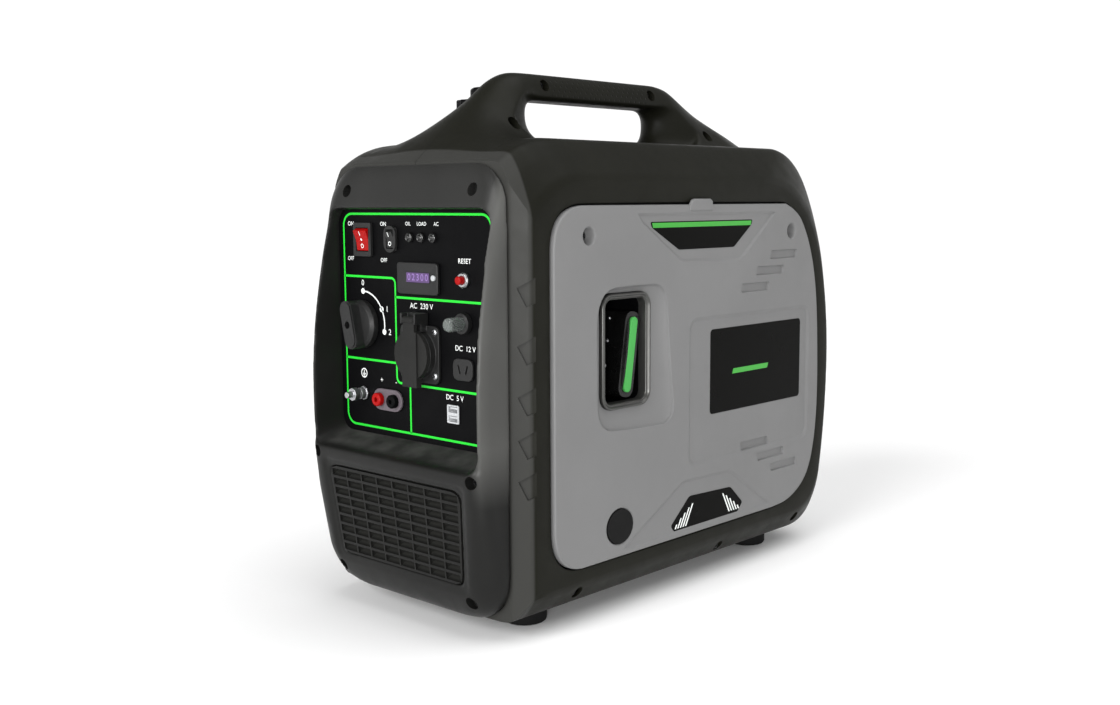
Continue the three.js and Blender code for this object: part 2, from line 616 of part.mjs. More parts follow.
function panelSlab() {
  const slab = prism(doorOutline(0), 'x', DOOR_BACK_X, DOOR_FACE_X);
  return cut(slab, prism(doorOutline(3), 'x', DOOR_BACK_X - 1, DOOR_FACE_X - DOOR_SKIN));
}

function dish(grow) {
  const ring = (x, y0, y1, z0, z1, r) => {
    const outline = roundedRect((y0 + y1) / 2, (z0 + z1) / 2, y1 - y0 + 2 * grow, z1 - z0 + 2 * grow, r + grow);
    return outline.extractPoints(1).shape.map((point) => vec(x, point.x, point.y));
  };
  const floor = RECOIL.floor - grow;
  const deep = ring(floor, RECOIL.y - 35.5, RECOIL.y + 35.5, RECOIL.z - 53, RECOIL.z + 52, 14);
  const mouth = ring(DOOR_FACE_X + 0.01, -143, -43, 168, 295, 18);
  return loft(grow > 0 ? [deep, mouth] : [deep, mouth, mouth.map((point) => point.clone().setX(DOOR_FACE_X + 4))]);
}

const upperSlots = [[144, 315], [119.5, 299.7], [94, 284]];
const lowerSlots = [[98, 125.8], [125, 111.5], [149, 97]];

function plateRecess(y0, y1, z0, z1, side) {
  const shape = roundedRect((y0 + y1) / 2, (z0 + z1) / 2, y1 - y0, z1 - z0, 12);
  const face = side * DOOR_FACE_X;
  return prism(shape, 'x', face - side * 1.2, face + side * 3, 3);
}

function serviceDoor() {
  const tab = prism(polygon([[-15, 358], [21, 358], [18.5, 371], [-9, 371]]), 'x', HALF_SIDE + 0.5, DOOR_FACE_X + 1);
  const cups = doorScrewPlaces.map(([y, z]) => rod('x', y, z, 9, DOOR_FACE_X - 13, DOOR_FACE_X - 1, 8));
  const wells = doorScrewPlaces.map(([y, z]) => rod('x', y, z, 7.2, DOOR_FACE_X - 11, DOOR_FACE_X + 3, 10));
  const pilots = doorScrewPlaces.map(([y, z]) => rod('x', y, z, 2.6, DOOR_BACK_X - 12, DOOR_FACE_X, 6));
  const slots = [...upperSlots, ...lowerSlots]
    .map(([y, z]) => prism(roundedRect(y, z, 49, 9.5, 2), 'x', DOOR_FACE_X - 1.2, DOOR_FACE_X + 3, 1));
  const vee = prism(polygon([[-91, 355], [-28, 313], [69, 313], [131, 361], [120, 361.5], [-86, 361]]),
    'x', DOOR_FACE_X - 1.2, DOOR_FACE_X + 3);
  const hem = prism(polygon([[-110, 59], [-22, 107], [54, 107], [125, 60]]), 'x', DOOR_FACE_X - 0.8, DOOR_FACE_X + 3);
  const hole = roundedRect(RECOIL.y, RECOIL.z, RECOIL.width - 5, RECOIL.height - 5, 10);
  const plugHole = oval(PLUG_PLACE.y, PLUG_PLACE.z, PLUG_PLACE.ry - 2, PLUG_PLACE.rz - 2);
  const plugSeat = oval(PLUG_PLACE.y, PLUG_PLACE.z, PLUG_PLACE.ry + GAP, PLUG_PLACE.rz + GAP);
  return cut(
    join(panelSlab(), dish(2.5), tab, ...cups),
    dish(0),
    prism(hole, 'x', DOOR_FACE_X - 31, DOOR_FACE_X + 9, 3),
    prism(plugHole, 'x', DOOR_FACE_X - 31, DOOR_FACE_X + 9, 20),
    prism(plugSeat, 'x', DOOR_FACE_X - 1, DOOR_FACE_X + 9, 20),
    plateRecess(-14, 196, 118, 262, 1),
    vee, hem, ...slots, ...wells, ...pilots,
  );
}

function leftCover() {
  const slab = panelSlab().scale([-1, 1, 1]);
  return cut(slab, plateRecess(-150, 160, 120, 300, -1));
}

function doorPlug() {
  const { y, z, ry, rz } = PLUG_PLACE;
  const cap = prism(oval(y, z, ry, rz), 'x', DOOR_FACE_X - 1 + GAP, DOOR_FACE_X + 0.6, 20);
  const stem = prism(oval(y, z, ry - 2 - GAP, rz - 2 - GAP), 'x', DOOR_BACK_X, DOOR_FACE_X, 20);
  return join(cap, stem);
}

function recoilBezel() {
  const { y, z, width, height, floor } = RECOIL;
  const flange = prism(roundedRect(y, z, width, height, 13), 'x', floor + GAP, floor + 4, 4);
  const collar = prism(roundedRect(y, z, width - 6, height - 6, 10), 'x', floor - 7, floor + 1, 4);
  return cut(join(flange, collar), prism(roundedRect(y, z, width - 11, height - 11, 8), 'x', floor - 24, floor + 16, 4));
}

const POCKET_BACK_X = SHROUD_RADIUS + GAP;
function recoilPocket() {
  const { y, z, width, height, floor } = RECOIL;
  const front = floor - 7 - GAP;
  const outside = prism(roundedRect(y, z, width - 6, height - 6, 10), 'x', POCKET_BACK_X, front, 3);
  const inside = prism(roundedRect(y, z, width - 10, height - 10, 8), 'x', POCKET_BACK_X + 2, front + 5, 3);
  return cut(outside, inside, rod('x', PULLEY_Y, ROPE_Z, 4, POCKET_BACK_X - 2, front, 12));
}

const HANDLE_TILT = 9;
const HANDLE_BACK_X = DOOR_FACE_X - 45;
const HANDLE_FRONT_X = DOOR_FACE_X - 10.5;
const handleCentre = { x: DOOR_FACE_X - 31, y: PULLEY_Y, z: ROPE_Z };
function recoilHandle() {
  const body = prism(roundedRect(PULLEY_Y, ROPE_Z, 20, 77, 8), 'x', HANDLE_BACK_X, HANDLE_FRONT_X, 4);
  const bow = prism(polygon([[0, -34], [1.5, -20], [2.1, 0], [1.5, 20], [0, 34], [-1.5, 34], [-1.5, -34]]
    .map(([x, z]) => [HANDLE_FRONT_X + x, ROPE_Z + z])), 'y', PULLEY_Y - 7, PULLEY_Y + 7);
  const slot = prism(roundedRect(PULLEY_Y, ROPE_Z, 9 + 2 * GAP, 68 + 2 * GAP, 4.6), 'x', HANDLE_FRONT_X - 1, HANDLE_FRONT_X + 9.5, 4);
  const waist = prism(oval(handleCentre.x, PULLEY_Y - 9.5, 10, 3), 'z', ROPE_Z - 43, ROPE_Z + 47, 10);
  const waistRear = prism(oval(handleCentre.x, PULLEY_Y + 9.5, 10, 3), 'z', ROPE_Z - 43, ROPE_Z + 47, 10);
  const grip = tilted(cut(join(body, bow), slot, waist, waistRear), 'x', -HANDLE_TILT, handleCentre);
  return cut(grip, rod('x', PULLEY_Y, ROPE_Z, ROPE_RADIUS + GAP, HANDLE_BACK_X - 6, HANDLE_BACK_X + 10, 8));
}

function recoilInsert() {
  const strip = prism(roundedRect(PULLEY_Y, ROPE_Z, 9, 68, 4.4), 'x', HANDLE_FRONT_X - 1 + GAP, HANDLE_FRONT_X + 2.4, 4);
  return tilted(strip, 'x', -HANDLE_TILT, handleCentre);
}

// ---------------------------------------------------------------- recoil starter, rotor and crankshaft
const ROPE_RADIUS = 2.2;
const SHROUD_FRONT_Y = -106;
const ENGINE_FRONT_Y = -30;
const ENGINE_REAR_Y = 75;
// The rope's tail ends just inside the shroud.
const ROPE_TAIL = Math.sqrt((SHROUD_RADIUS - 5.2) ** 2 - (PULLEY_RADIUS + ROPE_RADIUS) ** 2);
const recoilRope = () => rod('x', PULLEY_Y, ROPE_Z, ROPE_RADIUS, -ROPE_TAIL, HANDLE_BACK_X + 9.5, 8);

function fanShroud() {
  const profile = [[20, 0], [SHROUD_RADIUS, 0], [SHROUD_RADIUS, -SHROUD_FRONT_Y + ENGINE_FRONT_Y - GAP],
    [SHROUD_RADIUS - 2.5, -SHROUD_FRONT_Y + ENGINE_FRONT_Y - GAP], [SHROUD_RADIUS - 2.5, 2.5], [20, 2.5], [20, 0]];
  const drum = turned(profile, vec(0, SHROUD_FRONT_Y, CRANK_Z), vec(0, 1, 0), 20);
  const spokes = [0, 90].map((angle) => tilted(
    box(-SHROUD_RADIUS + 1, SHROUD_RADIUS - 1, SHROUD_FRONT_Y, SHROUD_FRONT_Y + 2.5, CRANK_Z - 4, CRANK_Z + 4),
    'y', angle, vec(0, 0, CRANK_Z)));
  const post = rod('y', 0, CRANK_Z, 8, SHROUD_FRONT_Y, PULLEY_Y + 5.5, 16);
  const vents = [45, 135, 225, 315].map((angle) => tilted(
    box(26, SHROUD_RADIUS - 10.5, SHROUD_FRONT_Y - 2, SHROUD_FRONT_Y + 6, CRANK_Z - 9, CRANK_Z + 9), 'y', angle, vec(0, 0, CRANK_Z)));
  const exit = box(0, SHROUD_RADIUS + 10, PULLEY_Y - 5, PULLEY_Y + 5, ROPE_Z - 5, ROPE_Z + 5);
  return cut(join(cut(drum, ...vents), ...spokes, post), exit);
}

function recoilPulley() {
  const rim = PULLEY_RADIUS + 3.5;
  const profile = [[8 + GAP, -5], [rim, -5], [rim, -3], [29, -3], [29, 3], [rim, 3], [rim, 5], [8 + GAP, 5], [8 + GAP, -5]];
  return turned(profile, vec(0, PULLEY_Y, CRANK_Z), vec(0, 1, 0), 20);
}

const ROTOR_FRONT_Y = -79;
const ROTOR_RADIUS = SHROUD_RADIUS - 10.5;
const ROTOR_WALL = 4.5;
function rotorFan() {
  const inner = ROTOR_RADIUS - ROTOR_WALL;
  const profile = [[10 + GAP, 0], [ROTOR_RADIUS, 0], [ROTOR_RADIUS, 38], [inner, 38], [inner, 5], [16, 5], [16, 14], [10 + GAP, 14], [10 + GAP, 0]];
  const cup = turned(profile, vec(0, ROTOR_FRONT_Y, CRANK_Z), vec(0, 1, 0), 20);
  const blades = Array.from({ length: 6 }, (_, step) => tilted(
    box(ROTOR_RADIUS - 1, ROTOR_RADIUS + 5.5, ROTOR_FRONT_Y, ROTOR_FRONT_Y + 22, CRANK_Z - 1.2, CRANK_Z + 1.2), 'y', step * 60, vec(0, 0, CRANK_Z)));
  return join(cup, ...blades);
}

function stator() {
  const front = ENGINE_FRONT_Y - ROTOR_FRONT_Y;
  const core = ROTOR_RADIUS - ROTOR_WALL - 3.5;
  const profile = [[17, 16], [core, 16], [core, 36], [28, 36], [28, front - GAP], [17, front - GAP], [17, 16]];
  return turned(profile, vec(0, ROTOR_FRONT_Y, CRANK_Z), vec(0, 1, 0), 18);
}

function crankshaft() {
  const profile = [[0, 0], [10, 0], [10, 50], [12, 50], [12, 155], [9, 155], [9, 163], [0, 163]];
  return turned(profile, vec(0, ROTOR_FRONT_Y - 2, CRANK_Z), vec(0, 1, 0), 16);
}

// ---------------------------------------------------------------- engine
const CYLINDER_LEAN = 45;
const crankAxis = vec(0, 0, CRANK_Z);
const leaning = (solid) => tilted(solid, 'y', CYLINDER_LEAN, crankAxis);
const MOUNT_TOP_Z = 45;
const DIPSTICK = { y: 50, z: 88 };

function engineBlock() {
  const outline = polygon([[-52, 50], [52, 50], [58, 90], [58, 205], [40, 232], [-45, 232], [-58, 205], [-58, 90]]);
  const crankcase = prism(outline, 'y', ENGINE_FRONT_Y + 8, ENGINE_REAR_Y);
  const flange = rod('y', 0, CRANK_Z, SHROUD_RADIUS, ENGINE_FRONT_Y, ENGINE_FRONT_Y + 9, 28);
  const bed = box(-66, 66, -22, 78, MOUNT_TOP_Z, MOUNT_TOP_Z + 8);
  const barrel = leaning(box(-33, 33, -12, 56, CRANK_Z + 30, CRANK_Z + 95));
  const fins = [62, 73, 84].map((r) => leaning(box(-41, 41, -19, 63, CRANK_Z + r, CRANK_Z + r + 4)));
  const filler = rod('x', DIPSTICK.y, DIPSTICK.z, 9, 50, 62, 12);
  const bore = rod('y', 0, CRANK_Z, 12 + GAP, ENGINE_FRONT_Y - 2, ENGINE_REAR_Y + 2, 16);
  const dip = rod('x', DIPSTICK.y, DIPSTICK.z, 5 + GAP, 40, 70, 12);
  return cut(join(crankcase, flange, bed, barrel, ...fins, filler), bore, dip);
}

function cylinderHead() {
  const head = box(-33, 33, -13, 57, CRANK_Z + 95 + GAP, CRANK_Z + 112);
  const fins = [98, 105].map((r) => box(-39, 39, -18, 62, CRANK_Z + r, CRANK_Z + r + 3));
  const cover = prism(roundedRect(0, 22, 46, 56, 10), 'z', CRANK_Z + 111, CRANK_Z + 124, 2);
  return leaning(join(head, ...fins, cover));
}

function sparkPlug() {
  const profile = [[0, 0], [7, 0], [7, 5], [5, 5], [5, 14], [8, 16], [8, 34], [0, 36]];
  return leaning(turned(profile, vec(0, -18 - GAP, CRANK_Z + 106), FRONTWARD, 12));
}

function oilDipstick() {
  const profile = [[0, 0], [5, 0], [5, 20], [10, 20], [11, 22], [11, 32], [0, 32]];
  return turned(profile, vec(42.3, DIPSTICK.y, DIPSTICK.z), RIGHTWARD, 12);
}

// Rubber mount strip with a pad under each end of the engine's bed.
function engineMount(side) {
  const pads = [-8, 62].map((y) => rod('z', side * 50, y, 12, TRAY_TOP_Z + GAP, MOUNT_TOP_Z - GAP, 14));
  const strip = box(side * 50 - 10, side * 50 + 10, -16, 70, TRAY_TOP_Z + GAP, TRAY_TOP_Z + 6);
  return join(strip, ...pads);
}

function carburettor() {
  const body = box(-62, -18, 14, 46, 232 + GAP, 262);
  const throat = rod('x', 30, 248, 12, -68, -10, 14);
  const bowl = rod('z', -40, 52, 10, 232 + GAP, 250, 12);
  return join(body, throat, bowl);
}

function airFilterBox() {
  return prism(roundedRect(46, 246, 96, 92, 10), 'x', -118, -68 - GAP, 2);
}

function muffler() {
  const can = prism(roundedRect(2, 160, 128, 128, 26), 'y', 98, 222, 4);
  const inlet = rod('y', 40, 205, 11, ENGINE_REAR_Y + GAP, 99, 14);
  const outlet = rod('y', OUTLET.x, OUTLET.z, OUTLET.radius, 221, REAR_Y - 4, 20);
  const bore = rod('y', OUTLET.x, OUTLET.z, OUTLET.radius - 2, 236, REAR_Y, 16);
  return cut(join(can, inlet, outlet), bore);
}

// ---------------------------------------------------------------- chassis
const TRAY_LOW_Z = BELLY_Z + WALL + 1.2;
const TRAY_TOP_Z = TRAY_LOW_Z + 2.5;
function baseTray() {
  const plate = prism(roundedRect(0, -17, 184, 386, 14), 'z', TRAY_LOW_Z, TRAY_TOP_Z, 2);
  const holes = [-FOOT_X, FOOT_X].flatMap((x) => [FOOT_FRONT_Y, FOOT_REAR_Y]
    .map((y) => rod('z', x, y, FOOT_STUD + 2.5 * GAP, TRAY_LOW_Z - 1, TRAY_TOP_Z + 1, 8)));
  return cut(plate, ...holes);
}

function foot(x, y) {
  const top = BELLY_Z - GAP;
  const profile = [[0, 0], [FOOT_RADIUS - 2, 0], [FOOT_RADIUS, 2], [FOOT_RADIUS, top], [FOOT_STUD, top],
    [FOOT_STUD, TRAY_TOP_Z + 4], [0, TRAY_TOP_Z + 4]];
  return turned(profile, vec(x, y, 0), UPWARD, 18);
}

function inverter() {
  const body = box(-78, 78, -196, -136, 34, 118);
  const fins = Array.from({ length: 9 }, (_, step) => -72 + step * 18)
    .map((x) => box(x - 1.5, x + 1.5, -208, -195, 36, 116));
  const rails = [-50, 50].map((x) => box(x - 8, x + 8, -190, -142, TRAY_TOP_Z + GAP, 35));
  return join(body, ...fins, ...rails);
}

const battery = () => box(-91, -54, -118, -48, TRAY_TOP_Z + GAP, 104);

// ---------------------------------------------------------------- fuel tank
function fuelTank() {
  const tank = prism(roundedRect(0, 354, 188, 88, 22), 'y', -204, 82, 4);
  const neck = rod('z', CAP_X, CAP_Y, 21, 390, DECK_Z + 14, 20);
  const collar = rod('z', CAP_X, CAP_Y, 25, DECK_Z - WALL - 5, DECK_Z - WALL - 1.2, 20);
  const bore = rod('z', CAP_X, CAP_Y, 18, 380, DECK_Z + 20, 20);
  return cut(join(tank, neck, collar), bore);
}

const CAP_TOP_Z = 467;
function fuelCap() {
  const teeth = 18;
  const wave = Array.from({ length: teeth * 2 }, (_, step) => {
    const radius = CAP_RADIUS - (step % 2) * 1.4;
    const angle = step / teeth * Math.PI;
    return [CAP_X + radius * Math.cos(angle), CAP_Y + radius * Math.sin(angle)];
  });
  const body = prism(polygon(wave), 'z', DECK_Z + GAP, CAP_TOP_Z);
  const bore = rod('z', CAP_X, CAP_Y, 21 + GAP, DECK_Z - 1, DECK_Z + 14 + GAP, 20);
  return cut(body, bore, rod('z', CAP_X, CAP_Y, 5 + GAP, CAP_TOP_Z - 12, CAP_TOP_Z + 1, 12));
}

function fuelCapVent() {
  const profile = [[0, -10], [5, -10], [5, GAP], [15, GAP], [16, 2], [16, 10.5], [13.5, 12.5], [0, 12.5]];
  return turned(profile, vec(CAP_X, CAP_Y, CAP_TOP_Z), UPWARD, 16);
}

// ---------------------------------------------------------------- control panel
const ENGINE_SWITCH = { x: -67.5, z: 336 };
const ECO_SWITCH = { x: -29, z: 337 };
const KNOB = { x: -71, z: 259.7, radius: 22 };
const DISPLAY = { x: 7.5, z: 303.7, width: 53, height: 27.5 };
const DISPLAY_BUTTON = { x: 28.8, z: 304.8, radius: 2.6 };
const LEDS = [-3.7, 11.1, 26.6].map((x) => [x, 339]);
const RESET = { x: 64.5, z: 304.4 };
const BREAKER = { x: 64.3, z: 268.2 };
const AC = { x: 8.5, z: 238.5, size: 50 };
const DC_OUTLET = { x: 62.8, z: 229 };
const USB = { x: 48.7, z: 189.5 };
const PARALLEL = { x: -37, z: 193, spacing: 20 };
const GROUND = { x: -72, z: 196 };

const front = (depth) => PANEL_Y - depth;
const through = (shape, segments = 4) => prism(shape, 'y', PANEL_Y - 5, PANEL_Y + 8, segments);
const switchHole = (place, width, height, grow) => roundedRect(place.x, place.z, width + 2 * grow, height + 2 * grow, 1.5 + grow);

function controlPanel() {
  const plate = prism(roundedRect(0, 261.5, 2 * PANEL_HALF + 1, 209, 17.5), 'y', PANEL_Y, PANEL_Y + PANEL_THICK, 3);
  return cut(
    plate,
    through(switchHole(ENGINE_SWITCH, 21, 27, GAP), 1),
    through(switchHole(ECO_SWITCH, 13, 20, GAP), 1),
    through(circle(KNOB.x, KNOB.z, 4.5), 8),
    through(roundedRect(DISPLAY.x, DISPLAY.z, 48 + 2 * GAP, 22 + 2 * GAP, 1), 1),
    ...LEDS.map(([x, z]) => through(circle(x, z, 3 + GAP), 8)),
    through(circle(RESET.x, RESET.z, 4.6 + GAP), 12),
    through(circle(BREAKER.x, BREAKER.z, 7.4 + GAP), 12),
    through(circle(AC.x, AC.z, 20.5 + GAP), 24),
    through(roundedRect(DC_OUTLET.x, DC_OUTLET.z, 20 + 2 * GAP, 15 + 2 * GAP, 3), 2),
    through(roundedRect(USB.x, USB.z, 12.5 + 2 * GAP, 14 + 2 * GAP, 1), 1),
    ...[-1, 1].map((side) => through(circle(PARALLEL.x + side * PARALLEL.spacing / 2, PARALLEL.z, 5 + GAP), 12)),
    through(circle(GROUND.x, GROUND.z, 3 + GAP), 10),
  );
}

// Rockers stand with the lower end pressed in. Reach, crown and valley describe the untilted face.
const ENGINE_ROCKER = { width: 17.4, reach: 9.4, crown: 4.4, valley: 3.2, tilt: 15 };
const ECO_ROCKER = { width: 9, reach: 7.2, crown: 4, valley: 2.6, tilt: 12 };
const rockerRadius = (rocker) => Math.hypot(rocker.reach, rocker.crown);

// Bezel of a snap-in rocker switch, with the pocket that the rocker swings in.
function switchBezel(place, width, height, corner, rocker) {
  const radius = rockerRadius(rocker) + GAP;
  const flange = prism(roundedRect(place.x, place.z, width, height, corner), 'y', front(3), front(GAP), 6);
  const body = prism(switchHole(place, width - 3, height - 3, 0), 'y', front(1), front(-radius - 3), 1);
  const half = rocker.width / 2 + GAP;
  const pocket = box(place.x - half, place.x + half, front(5), front(-radius - 1), place.z - radius, place.z + radius);
  return cut(join(flange, body), pocket);
}

// Rocker: a shallow valley between two crowns, and a round back centred on its pivot.
function switchRocker(place, rocker) {
  const radius = rockerRadius(rocker);
  const end = Math.atan2(rocker.reach, rocker.crown);
  const points = [[front(rocker.valley), place.z]];
  for (let step = 0; step <= 10; step += 1) {
    const angle = end + step / 10 * (2 * Math.PI - 2 * end);
    points.push([front(radius * Math.cos(angle)), place.z + radius * Math.sin(angle)]);
  }
  const solid = prism(polygon(points), 'x', place.x - rocker.width / 2, place.x + rocker.width / 2);
  return tilted(solid, 'x', rocker.tilt, vec(0, PANEL_Y, place.z));
}

// Knob: a skirt, and a bar across it that leans a little, with a screw hole in its face.
const KNOB_BAR = { width: 17, length: 44, lean: 13 };
function engineKnob() {
  const skirt = turned([[0, 0], [KNOB.radius, 0], [KNOB.radius, 5], [KNOB.radius - 2.5, 8], [0, 8]],
    vec(KNOB.x, front(1), KNOB.z), FRONTWARD, 28);
  const bar = prism(roundedRect(KNOB.x, KNOB.z, KNOB_BAR.width, KNOB_BAR.length, 8), 'y', front(18), front(5), 4);
  const face = prism(roundedRect(KNOB.x, KNOB.z, KNOB_BAR.width - 3, KNOB_BAR.length - 3, 6.5), 'y', front(19.2), front(17), 4);
  const shaft = rod('y', KNOB.x, KNOB.z, 4, front(1.5), front(-18), 12);
  const screwHole = rod('y', KNOB.x, KNOB.z, 3.5, front(25), front(13), 12);
  return tilted(cut(join(skirt, bar, face, shaft), screwHole), 'y', -KNOB_BAR.lean, vec(KNOB.x, PANEL_Y, KNOB.z));
}

function fuelValve() {
  const body = box(KNOB.x - 22, KNOB.x + 20, PANEL_Y + PANEL_THICK + GAP, front(-24), KNOB.z - 18, KNOB.z + 18);
  return cut(body, rod('y', KNOB.x, KNOB.z, 4 + GAP, PANEL_Y, front(-19), 12));
}

function displayHousing() {
  const face = prism(roundedRect(DISPLAY.x, DISPLAY.z, DISPLAY.width, DISPLAY.height, 3), 'y', front(3.5), front(GAP), 2);
  const body = prism(roundedRect(DISPLAY.x, DISPLAY.z, 48, 22, 1), 'y', front(1), front(-10), 1);
  const glass = box(-6.6, 24.2, front(6), front(2.2), 300.4, 308.8);
  const button = rod('y', DISPLAY_BUTTON.x, DISPLAY_BUTTON.z, DISPLAY_BUTTON.radius + GAP, front(6), front(-6), 10);
  return cut(join(face, body), glass, button);
}

const displayButton = () => rod('y', DISPLAY_BUTTON.x, DISPLAY_BUTTON.z, DISPLAY_BUTTON.radius, front(4.6), front(-4), 10);

// Three indicator lamps on one small board behind the panel.
function indicatorLamps() {
  const profile = [[0, -9], [3, -9], [3, GAP], [4.6, GAP], [4.2, 2.6], [3.2, 3.6], [2.4, 2.8], [1.6, 4.2], [0, 4.8]];
  const lamps = LEDS.map(([x, z]) => turned(profile, vec(x, PANEL_Y, z), FRONTWARD, 10));
  const board = box(LEDS[0][0] - 6, LEDS[2][0] + 6, front(-8), front(-10), LEDS[0][1] - 6, LEDS[0][1] + 6);
  return join(board, ...lamps);
}

function resetCollar() {
  const profile = [[3.6 + GAP, -8], [4.6, -8], [4.6, GAP], [6.6, GAP], [6.6, 2.6], [5.6, 4], [3.6 + GAP, 4], [3.6 + GAP, -8]];
  return turned(profile, vec(RESET.x, PANEL_Y, RESET.z), FRONTWARD, 14);
}
const resetButton = () => turned([[0, -6], [3.6, -6], [3.6, 8], [2.9, 9], [0, 9]], vec(RESET.x, PANEL_Y, RESET.z), FRONTWARD, 14);

function breakerBase() {
  const profile = [[6.3, 6], [8.9, 5], [8.9, GAP], [7.4, GAP], [7.4, -14], [3, -14], [3, -6], [6.3, -6], [6.3, 6]];
  return turned(profile, vec(BREAKER.x, PANEL_Y, BREAKER.z), FRONTWARD, 14);
}
const breakerButton = () => turned([[0, -1], [6, -1], [6, 19], [5, 21.5], [0, 22]],
  vec(BREAKER.x, PANEL_Y, BREAKER.z), FRONTWARD, 14);

const FLAP_AXIS = { depth: 13, z: 268.5, radius: 3.4 };
function acSocket() {
  const flange = prism(roundedRect(AC.x, AC.z, AC.size, AC.size, 5), 'y', front(3), front(GAP), 2);
  const tower = rod('y', AC.x, AC.z, 21.5, front(9), front(1), 24);
  const body = rod('y', AC.x, AC.z, 20.5, front(1), front(-14), 24);
  const well = rod('y', AC.x, AC.z, 19.2, front(15), front(-8), 24);
  const pins = [-9.5, 9.5].map((dx) => rod('y', AC.x + dx, AC.z, 2.6, front(15), front(-12), 8));
  const screws = [-19, 19].map((dz) => rod('y', AC.x + 20.5, AC.z + dz, 1.6, front(8), front(1), 6));
  const post = box(AC.x - 9.8, AC.x + 9.8, front(9), front(1), AC.z + 20, FLAP_AXIS.z + 6);
  const lugs = [-9.8, 7.8].map((dx) => box(AC.x + dx, AC.x + dx + 2, front(FLAP_AXIS.depth + 3), front(8), FLAP_AXIS.z - 3, FLAP_AXIS.z + 6));
  return cut(join(flange, tower, body, post, ...lugs), well, ...pins, ...screws);
}

function acSocketFlap() {
  const disc = rod('y', AC.x, AC.z, 21.5, front(13.2), front(9 + GAP), 24);
  const band = box(AC.x - 9.5, AC.x + 9.5, front(15), front(9 + GAP), 210.5, AC.z + 20);
  const strap = box(AC.x - 7.2, AC.x + 7.2, front(15), front(11), AC.z + 10, FLAP_AXIS.z);
  const knuckle = rod('x', front(FLAP_AXIS.depth), FLAP_AXIS.z, FLAP_AXIS.radius, AC.x - 7.4, AC.x + 7.4, 12);
  const keep = box(-40, 60, front(20), front(9 + GAP), 190, FLAP_AXIS.z + FLAP_AXIS.radius);
  return common(join(disc, band, strap, knuckle), keep);
}

function dcOutlet() {
  const face = prism(roundedRect(DC_OUTLET.x, DC_OUTLET.z, 24, 18.5, 5), 'y', front(2.6), front(GAP), 2);
  const body = prism(roundedRect(DC_OUTLET.x, DC_OUTLET.z, 20, 15, 3), 'y', front(1), front(-14), 2);
  const blades = [-1, 1].map((side) => tilted(
    box(DC_OUTLET.x + side * 4.6 - 0.9, DC_OUTLET.x + side * 4.6 + 0.9, front(6), front(-9), DC_OUTLET.z - 3.8, DC_OUTLET.z + 3.8),
    'y', side * 18, vec(DC_OUTLET.x + side * 4.6, PANEL_Y, DC_OUTLET.z)));
  return cut(join(face, body), ...blades);
}

function usbOutlet() {
  const face = prism(roundedRect(USB.x, USB.z, 14.5, 16, 1), 'y', front(1.6), front(GAP), 1);
  const body = prism(roundedRect(USB.x, USB.z, 12.5, 14, 1), 'y', front(1), front(-14), 1);
  const ports = [-4, 4].map((dz) => cut(
    box(USB.x - 5.6, USB.x + 5.6, front(6), front(-9), USB.z + dz - 2.6, USB.z + dz + 2.6),
    box(USB.x - 4.8, USB.x + 4.8, front(0.5), front(-10), USB.z + dz + 0.2, USB.z + dz + 2),
  ));
  return cut(join(face, body), ...ports);
}

function parallelPlate() {
  const plate = prism(roundedRect(PARALLEL.x, PARALLEL.z, 40, 19.5, 9.7), 'y', front(2.5), front(GAP), 4);
  const holes = [-1, 1].map((side) => through(circle(PARALLEL.x + side * PARALLEL.spacing / 2, PARALLEL.z, 5 + GAP), 12));
  return cut(plate, ...holes);
}

function parallelSocket(side) {
  const profile = [[2.2, 8], [5.2, 8], [6.2, 7], [6.2, 2.5 + GAP], [5, 2.5 + GAP], [5, -12], [0, -12], [0, -4], [2.2, -4], [2.2, 8]];
  return turned(profile, vec(PARALLEL.x + side * PARALLEL.spacing / 2, PANEL_Y, PARALLEL.z), FRONTWARD, 12);
}

function groundTerminal() {
  const profile = [[0, -12], [3, -12], [3, GAP], [6.5, GAP], [6.5, 2], [5.5, 2], [5.5, 7], [3.2, 7], [3.2, 9.5],
    [6, 9.5], [6, 15], [3, 15], [3, 21], [0, 21]];
  return turned(profile, vec(GROUND.x, PANEL_Y, GROUND.z), FRONTWARD, 8);
}

// ---------------------------------------------------------------- assembly
halfShells(charcoal);
part('front_cover', frontCover(), charcoal());
part('front_grille', frontGrille(), charcoal());
part('rear_cover', rearCover(), charcoal());
part('service_door', serviceDoor(), doorGrey());
part('left_cover', leftCover(), doorGrey());
part('door_plug', doorPlug(), darkRubber());
part('recoil_bezel', recoilBezel(), steel());
part('recoil_pocket', recoilPocket(), blackPlastic());
part('recoil_handle', recoilHandle(), blackPlastic());
part('recoil_grip_insert', recoilInsert(), pullGreen());
part('recoil_rope', recoilRope(), darkRubber());
part('recoil_pulley', recoilPulley(), blackPlastic());
part('fan_shroud', fanShroud(), blackPlastic());
part('rotor_fan', rotorFan(), castAlloy());
part('stator', stator(), steel());
part('crankshaft', crankshaft(), steel());
part('engine_block', engineBlock(), castAlloy());
part('cylinder_head', cylinderHead(), castAlloy());
part('spark_plug', sparkPlug(), darkRubber());
part('oil_dipstick', oilDipstick(), blackPlastic());
part('engine_mount_left', engineMount(-1), darkRubber());
part('engine_mount_right', engineMount(1), darkRubber());
part('carburettor', carburettor(), castAlloy());
part('air_filter_box', airFilterBox(), blackPlastic());
part('muffler', muffler(), blackSteel());
part('base_tray', baseTray(), blackSteel());
part('foot_front_left', foot(-FOOT_X, FOOT_FRONT_Y), darkRubber());
part('foot_front_right', foot(FOOT_X, FOOT_FRONT_Y), darkRubber());
part('foot_rear_left', foot(-FOOT_X, FOOT_REAR_Y), darkRubber());
part('foot_rear_right', foot(FOOT_X, FOOT_REAR_Y), darkRubber());
part('inverter', inverter(), castAlloy());
